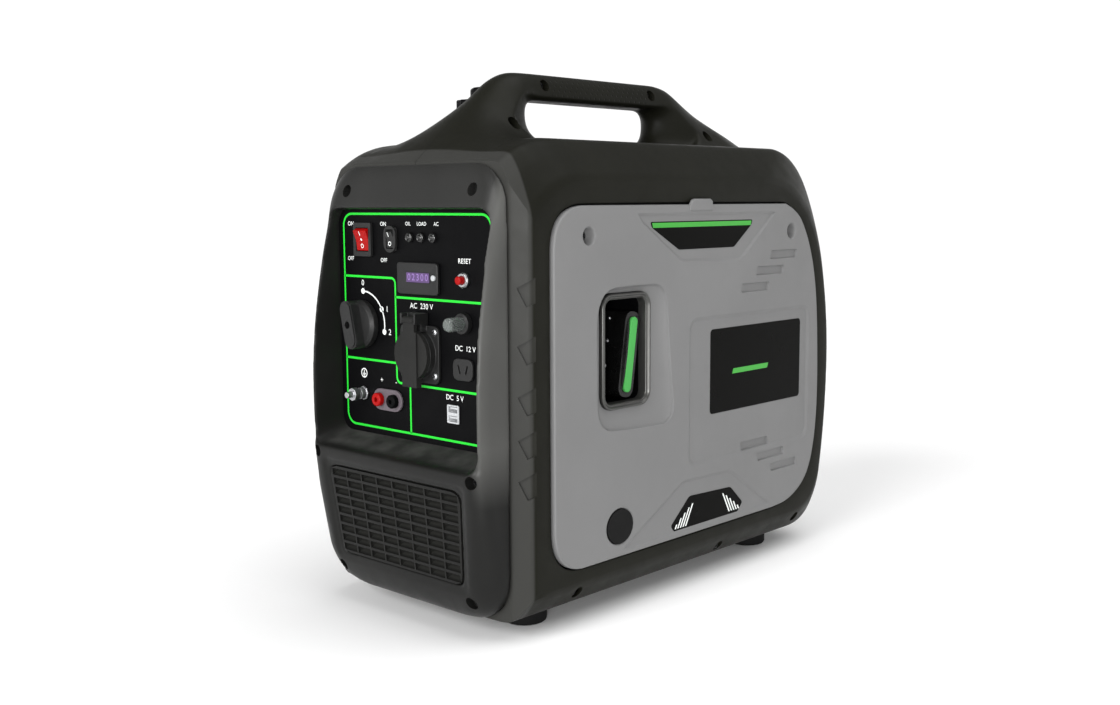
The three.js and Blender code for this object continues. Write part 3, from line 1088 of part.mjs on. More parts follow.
part('battery', battery(), blackPlastic());
part('fuel_tank', fuelTank(), tankBlack());
part('fuel_cap', fuelCap(), blackPlastic());
part('fuel_cap_vent', fuelCapVent(), blackPlastic());
part('control_panel', controlPanel(), blackPlastic());
part('engine_switch_bezel', switchBezel(ENGINE_SWITCH, 24.6, 30, 1.5, ENGINE_ROCKER), blackPlastic());
part('engine_switch_rocker', switchRocker(ENGINE_SWITCH, ENGINE_ROCKER), signalRed());
part('eco_switch_bezel', switchBezel(ECO_SWITCH, 16, 23.4, 7.5, ECO_ROCKER), blackPlastic());
part('eco_switch_rocker', switchRocker(ECO_SWITCH, ECO_ROCKER), blackPlastic());
part('engine_knob', engineKnob(), blackPlastic());
part('fuel_valve', fuelValve(), castAlloy());
part('display_housing', displayHousing(), blackPlastic());
part('display_button', displayButton(), finish(0xdedede, 0.4));
part('indicator_lamps', indicatorLamps(), finish(0x6a6a60, 0.2));
part('reset_collar', resetCollar(), steel());
part('reset_button', resetButton(), signalRed());
part('breaker_base', breakerBase(), blackPlastic());
part('breaker_button', breakerButton(), finish(0xb8c0bd, 0.2));
part('ac_socket', acSocket(), blackPlastic());
part('ac_socket_flap', acSocketFlap(), blackPlastic());
part('dc_outlet', dcOutlet(), blackPlastic());
part('usb_outlet', usbOutlet(), finish(0xd8d8d6, 0.4));
part('parallel_plate', parallelPlate(), finish(0x6d6066, 0.6));
part('parallel_socket_red', parallelSocket(-1), signalRed());
part('parallel_socket_black', parallelSocket(1), blackPlastic());
part('ground_terminal', groundTerminal(), steel());

export default generator;
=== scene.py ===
# %% [markdown]
# A portable inverter generator: a small engine and alternator shut in a
# moulded suitcase of charcoal plastic, with a carrying handle on top, a green
# outlined control panel at the front and a grey service door on the side.
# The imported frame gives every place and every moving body. The pieces below
# are the skins and the small parts that the eye sees.

# %% Load the frame
import json
import math

import bmesh
import bpy
import numpy as np
from mathutils import Matrix, Vector
from mathutils.geometry import delaunay_2d_cdt


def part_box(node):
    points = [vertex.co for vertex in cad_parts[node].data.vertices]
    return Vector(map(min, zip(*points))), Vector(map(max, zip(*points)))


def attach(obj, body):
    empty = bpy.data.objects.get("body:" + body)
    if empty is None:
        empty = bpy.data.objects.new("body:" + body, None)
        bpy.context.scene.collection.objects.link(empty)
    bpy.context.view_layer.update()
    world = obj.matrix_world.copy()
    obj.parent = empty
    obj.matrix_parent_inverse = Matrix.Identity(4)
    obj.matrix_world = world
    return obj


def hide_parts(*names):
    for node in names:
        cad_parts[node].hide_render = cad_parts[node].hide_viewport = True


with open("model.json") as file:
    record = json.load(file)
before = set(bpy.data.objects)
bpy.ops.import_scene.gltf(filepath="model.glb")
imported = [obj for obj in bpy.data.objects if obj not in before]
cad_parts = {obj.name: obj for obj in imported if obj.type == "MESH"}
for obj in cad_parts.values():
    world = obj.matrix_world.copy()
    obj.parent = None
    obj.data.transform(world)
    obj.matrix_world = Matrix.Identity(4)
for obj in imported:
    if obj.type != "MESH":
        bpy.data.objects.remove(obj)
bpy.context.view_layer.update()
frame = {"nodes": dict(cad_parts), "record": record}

# %% [markdown]
# The camera stands to the right of the front face and looks a little down.
# Aiming it with a constraint would level it, so its axes are written out,
# which keeps its small roll.

# %% Camera
def linked(name, data):
    """A new object for a camera, a lamp or a mesh, put in the scene."""
    item = bpy.data.objects.new(name, data)
    bpy.context.scene.collection.objects.link(item)
    return item


camera = linked("camera", bpy.data.cameras.new("camera"))
camera.data.lens, camera.data.sensor_width = 40.24, 36
camera_right = Vector((0.73352, 0.67965, -0.00510))
camera_up = Vector((-0.07794, 0.09157, 0.99274))
stand = Matrix((camera_right, camera_up, camera_right.cross(camera_up))).transposed().to_4x4()
stand.translation = (0.8311, -0.9458, 0.3695)
camera.matrix_world = stand
bpy.context.scene.camera = camera
print("camera at", tuple(round(v, 3) for v in stand.translation))

# %% [markdown]
# A plain pale sweep: one big floor under a white backdrop. A wide soft sun
# from above and one from the front light the object evenly, and a small
# lamp at the front right draws highlights along its edges. Lamps alone would
# leave a bright patch on the floor, where the suns light all of it alike.

# %% Floor and lights
def add_sky(tree, dim=0.2, bright=1.04):
    """A white backdrop all round, up to 15 degrees, that fades to a dimmer ceiling by 35 degrees."""
    backdrop = tree.nodes["Background"]
    backdrop.inputs["Color"].default_value = (1, 1, 1, 1)
    direction = tree.nodes.new("ShaderNodeTexCoord")
    height = tree.nodes.new("ShaderNodeSeparateXYZ")
    level = tree.nodes.new("ShaderNodeMapRange")
    level.interpolation_type = "SMOOTHSTEP"
    for key, value in (("From Min", 0.26), ("From Max", 0.57), ("To Min", bright), ("To Max", dim)):
        level.inputs[key].default_value = value
    tree.links.new(direction.outputs["Generated"], height.inputs[0])
    tree.links.new(height.outputs["Z"], level.inputs["Value"])
    tree.links.new(level.outputs["Result"], backdrop.inputs["Strength"])


def add_lamp(name, kind, strength, direction):
    """A lamp of a kind, turned to shine in a direction."""
    lamp = linked(name, bpy.data.lights.new(name, kind))
    lamp.data.energy = strength
    lamp.rotation_euler = Vector(direction).to_track_quat("-Z", "Y").to_euler()
    return lamp


FLOOR_HALF = 4.5
floor_corners = [(FLOOR_HALF * x, FLOOR_HALF * y, 0) for x, y in ((-1, -1), (1, -1), (1, 1), (-1, 1))]
floor = linked("floor", bpy.data.meshes.new("floor"))
floor.data.from_pydata(floor_corners, [], [(0, 1, 2, 3)])
world = bpy.data.worlds.new("studio")
bpy.context.scene.world = world
world.use_nodes = True
add_sky(world.node_tree)
add_lamp("daylight", "SUN", 1.85, (-0.35, -0.2, -1.0)).data.angle = 1.1
add_lamp("front_light", "SUN", 2.3, (-0.05, 1.0, -0.5)).data.angle = 0.6
lamp_place, lamp_aim = Vector((1.5, -1.95, 0.36)), Vector((0, 0, 0.22))
edge_light = add_lamp("edge_light", "AREA", 30, lamp_aim - lamp_place)
edge_light.location, edge_light.data.size = lamp_place, 0.3
bpy.context.scene.view_settings.view_transform = "Standard"
print("floor, backdrop, two suns and an edge light")

# %% [markdown]
# Materials are written as sums. A small class wraps one socket of a node
# tree, and Python's operators on it add the Math nodes that do the sum.

# %% Node sums
def maths(operation, swapped=False):
    """A method that adds one Math node. A swapped one puts its own wire last, so that 1 - mask works."""
    def method(wire, *others):
        values = (*others, wire) if swapped else (wire, *others)
        sockets = {str(i): value for i, value in enumerate(values)}
        return wire.finish.node("ShaderNodeMath", {"operation": operation}, sockets)
    return method


class Wire:
    """One output socket of a finish. Arithmetic on wires adds Math nodes to its tree."""

    def __init__(self, finish, socket):
        self.finish, self.socket = finish, socket

    __add__, __radd__ = maths("ADD"), maths("ADD", swapped=True)
    __sub__, __rsub__ = maths("SUBTRACT"), maths("SUBTRACT", swapped=True)
    __mul__, __rmul__ = maths("MULTIPLY"), maths("MULTIPLY", swapped=True)
    __pow__, __gt__, __lt__ = maths("POWER"), maths("GREATER_THAN"), maths("LESS_THAN")
    most, turn, apart = maths("MAXIMUM"), maths("ARCTAN2"), maths("ABSOLUTE")
    floor, part = maths("FLOOR"), maths("FRACT")


print("sums on wires ready")

# %% Finishes as trees of nodes
class Finish:
    """A material, the one method that adds nodes to it, and the sums that several finishes share."""

    def __init__(self, name, base, roughness, **fixed):
        self.material = bpy.data.materials.new(name)
        self.material.use_nodes = True
        self.tree = self.material.node_tree
        self.shader = self.tree.nodes["Principled BSDF"]
        self.shader.inputs["Base Color"].default_value = (*base, 1)
        self.shader.inputs["Roughness"].default_value = roughness
        for key, value in fixed.items():
            self.shader.inputs[key.replace("_", " ")].default_value = value
        self.place = Wire(self, self.tree.nodes.new("ShaderNodeTexCoord").outputs["Object"])

    def node(self, kind, settings, sockets, output=0):
        """Adds a node: its settings first, then values or wires on its sockets by name or number."""
        made = self.tree.nodes.new(kind)
        for key, value in settings.items():
            setattr(made, key, value)
        for key, value in sockets.items():
            socket = made.inputs[int(key) if key.isdigit() else key]
            if isinstance(value, Wire):
                self.tree.links.new(value.socket, socket)
            else:
                socket.default_value = value
        return Wire(self, made.outputs[output])

    def feed(self, socket, wire):
        """Joins a wire to a socket of the shader."""
        self.tree.links.new(wire.socket, self.shader.inputs[socket])

    def noise(self, scale, detail=3, roughness=0.5):
        """Smooth noise from 0 to 1, with so many waves to the metre."""
        sockets = {"Vector": self.place, "Scale": scale, "Detail": detail, "Roughness": roughness}
        return self.node("ShaderNodeTexNoise", {}, sockets)

    def blend(self, factor, first, second):
        """Colour mix: first where the factor is 0, second where it is 1."""
        first, second = [c if isinstance(c, Wire) else (*c, 1) for c in (first, second)]
        sockets = {"0": factor, "6": first, "7": second}
        return self.node("ShaderNodeMix", {"data_type": "RGBA"}, sockets, output=2)

    def between(self, value, low, high, to_low=0.0, to_high=1.0):
        """A number moved from one range to another, and held at its ends."""
        sockets = {"Value": value, "From Min": low, "From Max": high, "To Min": to_low, "To Max": to_high}
        return self.node("ShaderNodeMapRange", {"clamp": True}, sockets)

    def axes(self):
        """The three coordinates of a point, as wires."""
        split = self.node("ShaderNodeSeparateXYZ", {}, {"Vector": self.place})
        return [Wire(self, output) for output in split.socket.node.outputs]

    def patches(self):
        """A faint broad change over the surface, from 0 to 1."""
        return self.between(self.noise(9, 2), 0.35, 0.65)

    def sheen(self, roughness):
        """Roughness that wanders a little, in patches about 17 mm wide."""
        return self.between(self.noise(60), 0.3, 0.7, roughness - 0.05, roughness + 0.06)

    def grain(self, pitch=2600):
        """The fine height of a spark-eroded mould."""
        return self.noise(pitch, 2, 0.6)

    def bump(self, height, strength, distance):
        """Feeds a height to the shader's normal through one Bump node."""
        sockets = {"Height": height, "Strength": strength, "Distance": distance}
        self.feed("Normal", self.node("ShaderNodeBump", {}, sockets))


def linear(shade):
    """A screen colour from 0 to 255 as linear light."""
    shares = np.array(shade) / 255
    return np.where(shares <= 0.04045, shares / 12.92, ((shares + 0.055) / 1.055) ** 2.4)


print("mid grey as linear light", linear((128, 128, 128)).round(3))

# %% [markdown]
# Nearly every part is injection-moulded plastic. Its mould was spark-eroded,
# which leaves a fine grain that breaks up the gloss, so one recipe serves
# most parts: a grain in the bump, uneven sheen and a faint change of tone.
# The housing, the front cover and the grille each add something to it.

# %% Moulded plastics
def grained(name, shade, roughness, grain=0.00008, tone=0.12, pitch=2600, **fixed):
    """Moulded plastic: tone is how far its brightness wanders, grain the height of the bumps in metres."""
    colour = linear(shade)
    finish = Finish(name, colour, roughness, **fixed)
    finish.feed("Base Color", finish.blend(finish.patches(), colour * (1 - tone), colour * (1 + tone)))
    finish.feed("Roughness", finish.sheen(roughness))
    finish.bump(finish.grain(pitch), 0.6, grain)
    return finish.material


print("grain recipe ready")

# %% Housing plastic
def housing_plastic(name, shade, flare_highlight_shade, roughness, **fixed):
    """Moulded plastic with a painted highlight on the front flare, a fine dark mid-plane seam, and a dimpled
    grip whose dimples are painted darker as painted shade.

    The dimples are staggered rows round the grip's axis: a row is a share of the turn about it.
    """
    flare_y, seam_half = (-0.2205, -0.2185), 0.0003
    grip_z, grip_low, grip_y, grip_half = 0.468, 0.464, -0.0085, 0.0715
    grip_radius, row_pitch, dimple_pitch = 17.0, 4.2, 7.6
    colour = linear(shade)
    finish = Finish(name, colour, roughness, **fixed)
    x, y, z = finish.axes()
    base = finish.blend(finish.patches(), colour * 0.88, colour * 1.12)
    # The front flare is painted paler: a painted highlight.
    base = finish.blend(finish.between(y, *flare_y, 1.0, 0.0), base, linear(flare_highlight_shade))
    row = x.turn(z - grip_z) * (grip_radius / row_pitch)
    along = y * (1000 / dimple_pitch) + row.floor() * 0.5
    across_gap, along_gap = (row.part() - 0.5) * row_pitch, (along.part() - 0.5) * dimple_pitch
    away = (across_gap * across_gap + along_gap * along_gap) ** 0.5
    on_grip = (z > grip_low) * ((y - grip_y).apart() < grip_half)
    # The seam is a dark joint; the dimples are painted darker, as painted shade in their hollows.
    marks = (x.apart() < seam_half).most(finish.between(away, 0.6, 1.3, 1.0, 0.0) * on_grip * 0.6)
    finish.feed("Base Color", finish.blend(marks, base, colour * 0.35))
    finish.feed("Roughness", finish.sheen(roughness))
    finish.bump(finish.grain() * 0.12 - marks, 0.8, 0.0005)
    return finish.material


# The second shade is the painted highlight on the front flare.
shell_plastic = housing_plastic("shell_plastic", (22, 22, 17), (48, 48, 46), 0.42, Specular_IOR_Level=0.08)
print("housing plastic of", len(shell_plastic.node_tree.nodes), "nodes")

# %% Cover and grille plastics
def cover_finish(name, shadowed_shade, lit_shade, highlight_shade, roughness, **fixed):
    """The front cover's plastic: painted shade low down round the grille and towards one side, a painted
    highlight along the other side's edge, and a dull sill painted paler, as painted light in dusty patches.
    """
    finish = Finish(name, linear(lit_shade), roughness, **fixed)
    x, y, z = finish.axes()
    # Painted shade: darker low down, below the panel, and along the -X side.
    paler = finish.between(z, 0.14, 0.20) * finish.between(x, -0.113, -0.06)
    base = finish.blend(paler, linear(shadowed_shade), linear(lit_shade))
    # Painted highlight: paler along the +X edge beside the panel.
    edge_highlight = finish.between(x, 0.102, 0.110) * finish.between(z, 0.12, 0.17)
    base = finish.blend(edge_highlight, base, linear(highlight_shade))
    # The sill is painted paler in patches: painted light on the lit sill, partly dust. It is also made
    # rougher.
    sill = finish.between(z, 0.150, 0.153) * finish.between(z, 0.166, 0.172, 1.0, 0.0)
    sill = sill * finish.between(x.apart(), 0.094, 0.102, 1.0, 0.0)
    sill_light_and_dust = finish.between(finish.noise(40), 0.35, 0.65, 0.1, 0.6)
    base = finish.blend(sill * sill_light_and_dust, base, linear(highlight_shade))
    finish.feed("Base Color", finish.blend(finish.patches() * 0.16, base, (0, 0, 0)))
    finish.feed("Roughness", finish.sheen(roughness) + sill * 0.4)
    finish.bump(finish.grain(), 0.6, 0.00008)
    return finish.material


def grille_finish(name, bar_shade, lit_slat_shade, roughness, lean=0.11, **fixed):
    """The grille's plastic: dark on the bars' front faces, with the slats behind that leaning plane painted
    paler as painted light.
    """
    finish = Finish(name, linear(bar_shade), roughness, **fixed)
    x, y, z = finish.axes()
    lowest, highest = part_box("front_grille")
    behind = y - ((float(highest[2]) - z) * lean + float(lowest[1]))
    # The slats behind the bars are painted paler: painted light on their lit faces.
    slats = finish.between(behind, 0.0012, 0.0035)
    finish.feed("Base Color", finish.blend(slats, linear(bar_shade), linear(lit_slat_shade)))
    finish.feed("Roughness", finish.sheen(roughness))
    finish.bump(finish.grain(), 0.6, 0.00008)
    return finish.material


# Its shades are the painted shade low down, the lit face and the painted highlight.
cover_plastic = cover_finish("cover_plastic", (22, 22, 21), (36, 36, 35), (72, 72, 70), 0.36,
                             Specular_IOR_Level=0.16)
# The second shade is the slats' painted light.
grille_plastic = grille_finish("grille_plastic", (24, 24, 23), (42, 42, 40), 0.4, Specular_IOR_Level=0.12)
print("cover plastic of", len(cover_plastic.node_tree.nodes), "nodes")

# %% Finishes of the small parts
door_plastic = grained("door_plastic", (110, 110, 110), 0.5, tone=0.03, Specular_IOR_Level=0.2)
lamp_black = grained("lamp_black", (16, 16, 16), 0.25, Specular_IOR_Level=0.6)
panel_black = grained("panel_black", (6, 6, 7), 0.5, Specular_IOR_Level=0.05)
knob_black = grained("knob_black", (25, 25, 25), 0.4, tone=0.08, Specular_IOR_Level=0.3)
bezel_black = grained("bezel_black", (31, 31, 31), 0.45, tone=0.08, Specular_IOR_Level=0.25)
grip_black = grained("grip_black", (11, 11, 11), 0.28, tone=0.1, Specular_IOR_Level=0.3)
flap_rubber = grained("flap_rubber", (27, 27, 26), 0.7, tone=0.15, Specular_IOR_Level=0.2)
soft_rubber = grained("soft_rubber", (16, 16, 16), 0.8, Specular_IOR_Level=0.15)
signal_red = grained("signal_red", (146, 4, 3), 0.35, tone=0.05, Specular_IOR_Level=0.14)
pull_green = grained("pull_green", (66, 152, 72), 0.55, tone=0.06, Specular_IOR_Level=0.2)
lavender_plastic = grained("lavender_plastic", (84, 76, 82), 0.5, tone=0.05)
silver_plastic = grained("silver_plastic", (168, 170, 172), 0.4, tone=0.05)
clear_boot = grained("clear_boot", (176, 184, 180), 0.1, grain=0.00002, tone=0.05, Alpha=0.2)
rope_fibre = grained("rope_fibre", (30, 30, 32), 0.8)
dark_chrome = grained("dark_chrome", (80, 80, 78), 0.33, grain=0.000003, tone=0.1, Metallic=0.72)
satin_steel = grained("satin_steel", (185, 186, 188), 0.34, tone=0.06, Metallic=1.0)
cast_alloy = grained("cast_alloy", (150, 152, 154), 0.55, grain=0.0003, pitch=900, Metallic=0.9)
dark_steel = grained("dark_steel", (48, 49, 50), 0.45, Metallic=0.7)
slot_finish = {
    "shell": shell_plastic, "door": door_plastic, "black_plastic": panel_black, "rubber": soft_rubber,
    "rope": rope_fibre, "red_plastic": signal_red, "green_rubber": pull_green, "satin_steel": satin_steel,
    "bright_metal": satin_steel, "cast_alloy": cast_alloy, "dark_steel": dark_steel, "clear_boot": clear_boot,
    "mauve_plastic": lavender_plastic, "silver_plastic": silver_plastic,
}
floor.data.materials.append(Finish("floor_white", (0.93, 0.93, 0.93), 0.9).material)
node_slot = {}
for node, piece in frame["nodes"].items():
    node_slot[node] = piece.data.materials[0].name.split(".")[0]
    piece.data.materials.clear()
    piece.data.materials.append(slot_finish[node_slot[node]])
print("finishes on", len(frame["nodes"]), "nodes")

# %% [markdown]
# New pieces are tables of points in millimetres, in the frame's own axes.
# Each shape is worked out as whole arrays, and one helper turns the arrays
# into a mesh, gives it a finish and tells the frame which body carries it.

# %% Mesh helpers
bodies = frame["record"]["behaviour"]["bodies"]
carrier = {node: body for body, nodes in bodies.items() for node in nodes}


def grid_faces(rows, columns, wrap=False):
    """Quads between neighbouring rows and columns of a table of points."""
    first = np.arange(rows - 1)[:, None] * columns
    column = np.arange(columns if wrap else columns - 1)[None, :]
    a, b = (first + column).ravel(), (first + (column + 1) % columns).ravel()
    return np.stack([a, b, b + columns, a + columns], 1)


def fresh_mesh(points, faces):
    """A mesh from points in millimetres and faces of any size."""
    mesh = bpy.data.meshes.new("shape")
    mesh.from_pydata((np.asarray(points, float) * 0.001).tolist(), [], [list(map(int, f)) for f in faces])
    return mesh


def outward(mesh):
    """Turns every face of a closed mesh outwards."""
    work = bmesh.new()
    work.from_mesh(mesh)
    bmesh.ops.remove_doubles(work, verts=work.verts, dist=1e-6)
    bmesh.ops.recalc_face_normals(work, faces=work.faces)
    work.to_mesh(mesh)
    work.free()
    return mesh


def merged(meshes):
    """Several meshes as one."""
    work = bmesh.new()
    for mesh in meshes:
        work.from_mesh(mesh)
    made = bpy.data.meshes.new("shape")
    work.to_mesh(made)
    work.free()
    return made


def add_piece(name, mesh, body, slot, stands_for=(), crisp=32, finish=None, normals=None):
    """Puts a mesh in the scene on a body.

    It is shaded smooth, by its own normals or with edges that turn more than crisp degrees left sharp.
    """
    piece = linked(name, mesh)
    mesh.name = name
    mesh.shade_smooth()
    if normals is None:
        mesh.set_sharp_from_angle(angle=math.radians(crisp))
    else:
        mesh.normals_split_custom_set_from_vertices(normals.tolist())
    mesh.materials.clear()
    mesh.materials.append(finish or slot_finish[slot])
    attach(piece, body)
    if stands_for:
        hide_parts(*stands_for)
    return piece


print("mesh helpers ready for", len(carrier), "nodes")

# %% Modifiers
def worked(data, *steps):
    """The mesh of a mesh or a curve after modifiers, each given as its kind and its settings."""
    item = linked("work", data)
    for kind, settings in steps:
        step = item.modifiers.new(kind, kind)
        for key, value in settings.items():
            setattr(step, key, value)
    graph = bpy.context.evaluated_depsgraph_get()
    graph.update()
    made = bpy.data.meshes.new_from_object(item.evaluated_get(graph))
    bpy.data.objects.remove(item)
    return made


def carve(mesh, cutter, operation="DIFFERENCE"):
    """The mesh after an exact Boolean with the cutter mesh."""
    tool = linked("tool", cutter)
    made = worked(mesh, ("BOOLEAN", {"operation": operation, "object": tool, "solver": "EXACT"}))
    bpy.data.objects.remove(tool)
    return made


def moulded(mesh, voxel, passes):
    """The mesh remade from voxels of a size in metres and smoothed, so that all its edges get one radius."""
    remesh = ("REMESH", {"mode": "VOXEL", "voxel_size": voxel})
    return worked(mesh, remesh, ("SMOOTH", {"factor": 0.5, "iterations": passes}))


def bevel_edges(piece, width, segments=2, past=30):
    """Rounds the edges of a piece that turn more than the given degrees, by a width in millimetres."""
    edge = piece.modifiers.new("edge", "BEVEL")
    edge.width, edge.segments = width * 0.001, segments
    edge.limit_method, edge.angle_limit = "ANGLE", math.radians(past)


print("modifiers: wall, Boolean, remesh with smoothing, bevel")

# %% Outlines and skins
def bow(start, control, end, steps):
    """Points of a quadratic arc from start past control towards end, without the end itself."""
    t = np.linspace(0, 1, steps, endpoint=False)[:, None]
    return (1 - t) ** 2 * np.array(start) + 2 * t * (1 - t) * np.array(control) + t * t * np.array(end)


def through(points, steps=6):
    """A smooth curve through points: each stretch is a Catmull-Rom cubic."""
    p = np.asarray(points, float)
    p = np.concatenate([2 * p[:1] - p[1:2], p, 2 * p[-1:] - p[-2:-1]])
    t = np.linspace(0, 1, steps, endpoint=False)[:, None, None]
    a, b, c, d = p[:-3], p[1:-2], p[2:-1], p[3:]
    square, cube = 2 * a - 5 * b + 4 * c - d, 3 * b - a - 3 * c + d
    curve = 0.5 * (2 * b + (c - a) * t + square * t ** 2 + cube * t ** 3)
    return np.concatenate([curve.transpose(1, 0, 2).reshape(-1, p.shape[1]), p[-2:-1]])


def oval(y, z, half_y, half_z, steps=40):
    """Outline of an ellipse, counter-clockwise."""
    turn = np.linspace(0, 2 * np.pi, steps, endpoint=False)
    return np.stack([y + half_y * np.cos(turn), z + half_z * np.sin(turn)], 1)


def circle(y, z, radius, steps):
    """Outline of a circle, counter-clockwise."""
    return oval(y, z, radius, radius, steps)


def round_box(y0, y1, z0, z1, radius, steps=8):
    """Outline of a rectangle with circular corners, counter-clockwise."""
    right, left, top, bottom = y1 - radius, y0 + radius, z1 - radius, z0 + radius
    arcs = []
    for corner, (y, z) in enumerate([(right, top), (left, top), (left, bottom), (right, bottom)]):
        turn = np.linspace(0, np.pi / 2, steps) + corner * np.pi / 2
        arcs.append(np.stack([y + radius * np.cos(turn), z + radius * np.sin(turn)], 1))
    return np.concatenate(arcs)


def placed(outline, axis, depth):
    """An outline as points where an axis has the given depth. Its own numbers are the other two axes."""
    outline = np.asarray(outline, float)
    return np.insert(outline, "xyz".index(axis), np.broadcast_to(depth, len(outline)), axis=1)


def loft_mesh(rings):
    """A closed skin over rings of equally many points, with a flat face at each end."""
    rings = np.asarray(rings, float)
    rows, columns = rings.shape[:2]
    faces = grid_faces(rows, columns, wrap=True).tolist()
    faces += [list(range(columns))[::-1], list(range((rows - 1) * columns, rows * columns))]
    return outward(fresh_mesh(rings.reshape(-1, 3), faces))


def hoop_mesh(rings):
    """A closed skin over rings of equally many points, of which the last is joined to the first."""
    rings = np.asarray(rings, float)
    rows, columns = rings.shape[:2]
    faces = grid_faces(rows + 1, columns, wrap=True) % (rows * columns)
    return outward(fresh_mesh(rings.reshape(-1, 3), faces))


def prism_mesh(outline, axis, low, high):
    """An outline carried straight along an axis, closed at both ends."""
    return loft_mesh([placed(outline, axis, low), placed(outline, axis, high)])


print("a circle of", len(circle(0, 0, 1, 24)), "points")

# %% [markdown]
# The housing is two moulded half shells that meet on the mid-plane. Seen
# from the side, each section is one closed outline: a straight front edge, a
# bulged rear and rounded corners. The outline shrinks where the shoulder,
# the flare and the belly fall away, so the shell is those outlines carried
# across from the mid-plane, then on to the rim of the door opening.

# %% Housing outline
SEAM_Y, REAR_Y, HALF_SIDE, HALF_SHOULDER, HALF_SEAM = -232, 270, 128, 104, 113.5
DECK_Z, BELLY_Z, GRIP_TOP_Z, BROW_DROP = 423, 16.5, 487, 20.3
# How far the shoulder drops, the flare goes back and the belly rises for each millimetre outwards.
SHOULDER_SLOPE, FLARE_SLOPE, BELLY_SLOPE = 34 / 24, 12 / 14.5, 22 / 14.5
# The side outline: the length of the belly's and the crown's corners, the start of the deck and of its bend.
BELLY_CORNER, CROWN_CORNER, DECK_START, DECK_BEND = 44, 60, 62, 27.9
# How far the rear comes forward, the crown's corner grows and the brow sinks as the shoulder drops by one.
REAR_PULL, CROWN_GROWTH, BROW_SINK = 0.95, 1.2, 0.35


def soft_ramp(distance, softness):
    """Zero before the start, straight after it, with a rounded bend between."""
    return (distance + np.hypot(distance, 2 * softness)) / 2


def edge_fall(place, limit, reach, depth):
    """Quarter-ellipse fall of a surface over its last stretch before a limit."""
    past = np.clip((place - limit + reach) / reach, 0, 1)
    return depth * (1 - np.sqrt(1 - past * past))


def rear_face(z):
    """The rear bulge: a parabola in height, steeper above its furthest point."""
    return REAR_Y - np.where(z > 200, 0.00128, 0.0008) * (z - 200.0) ** 2


def side_ring(x):
    """The closed side outline at a distance x from the mid-plane, from the front edge round the belly."""
    rounded = float(edge_fall(x, HALF_SIDE, 3.5, 3.5))
    top = SHOULDER_SLOPE * soft_ramp(x - HALF_SHOULDER, 2) + rounded
    front = SEAM_Y + FLARE_SLOPE * soft_ramp(x - HALF_SEAM, 0.6) + rounded
    low = BELLY_Z + BELLY_SLOPE * soft_ramp(x - HALF_SEAM, 3) + rounded
    high = DECK_Z - top

    def rear(z):
        return float(rear_face(z)) - REAR_PULL * top

    corner = CROWN_CORNER + CROWN_GROWTH * top
    low_turn, high_turn = low + BELLY_CORNER, high - corner
    brow, deck_start = high - BROW_DROP - BROW_SINK * top, front + DECK_START
    belly_end = [rear(low) - BELLY_CORNER, low]
    crown_end = [rear(high_turn) - corner - 8, high]
    z_rear = np.linspace(low_turn, high_turn, 30, endpoint=False)
    return np.concatenate([
        bow([front, brow], [front, (brow + low) / 2], [front, low], 240),
        bow([front, low], [(front + belly_end[0]) / 2, low], belly_end, 24),
        bow(belly_end, [rear(low + 8), low], [rear(low_turn), low_turn], 18),
        np.stack([rear_face(z_rear) - REAR_PULL * top, z_rear], 1),
        bow([rear(high_turn), high_turn], [rear(high_turn) - 20, high - 5], crown_end, 22),
        bow(crown_end, [(crown_end[0] + deck_start) / 2, high], [deck_start, high], 30),
        bow([deck_start, high], [front + DECK_BEND, high], [front, brow], 16),
    ])


print("housing outline of", len(side_ring(0)), "points")

# %% [markdown]
# The service door fills most of the right side. Its outline is needed three
# times: for the opening in the shell, for the door and for the dark strip
# that puts shade behind its gap. Seen from the door's middle it is a distance
# for every angle, which moves in or out by a margin as easily as a circle does.

# %% Door outline
MIDDLE_Y, MIDDLE_Z = 5, 208
door_rear = [(130, 54), (156, 56.5), (178, 65), (194, 78), (205, 99), (212, 132), (214.3, 178), (211, 250),
             (204, 294), (193, 325), (178, 349), (163, 360), (148, 366)]
door_edge = np.concatenate([
    bow([-198, 94], [-198, 54], [-158, 54], 14), through(door_rear),
    bow([-158, 366], [-198, 366], [-198, 326], 14), [[-198, 326]],
])


def even_steps(outline, count):
    """The same closed outline as a number of points at even steps."""
    loop = np.concatenate([outline, outline[:1]])
    along = np.concatenate([[0], np.cumsum(np.linalg.norm(np.diff(loop, axis=0), axis=1))])
    at = np.linspace(0, along[-1], count, endpoint=False)
    return np.stack([np.interp(at, along, loop[:, k]) for k in (0, 1)], 1)


def reach_from(middle, outline, count):
    """A function of the angle: the distance from a middle to an outline, read from a number of its points."""
    away = even_steps(outline, count) - middle
    turn = np.arctan2(away[:, 1], away[:, 0])
    order = np.argsort(turn)
    return lambda angle: np.interp(angle, turn[order], np.hypot(*away.T)[order], period=2 * np.pi)


door_reach = reach_from((MIDDLE_Y, MIDDLE_Z), door_edge, 1342)


def door_ring(angle, margin, x):
    """Points of the door's outline at angles about its middle, moved out by a margin, at a distance x."""
    reach = door_reach(angle) + margin
    y, z = MIDDLE_Y + reach * np.cos(angle), MIDDLE_Z + reach * np.sin(angle)
    return np.stack(np.broadcast_arrays(x, y, z), -1)


print("door edge of", len(door_edge), "points")

# %% [markdown]
# Each half shell gets its wall from a Solidify modifier, because a moulding
# is equally thick everywhere. The openings, the screw wells and the row of
# notches down the flare are cut afterwards with exact Booleans, so that
# their edges stay crisp.

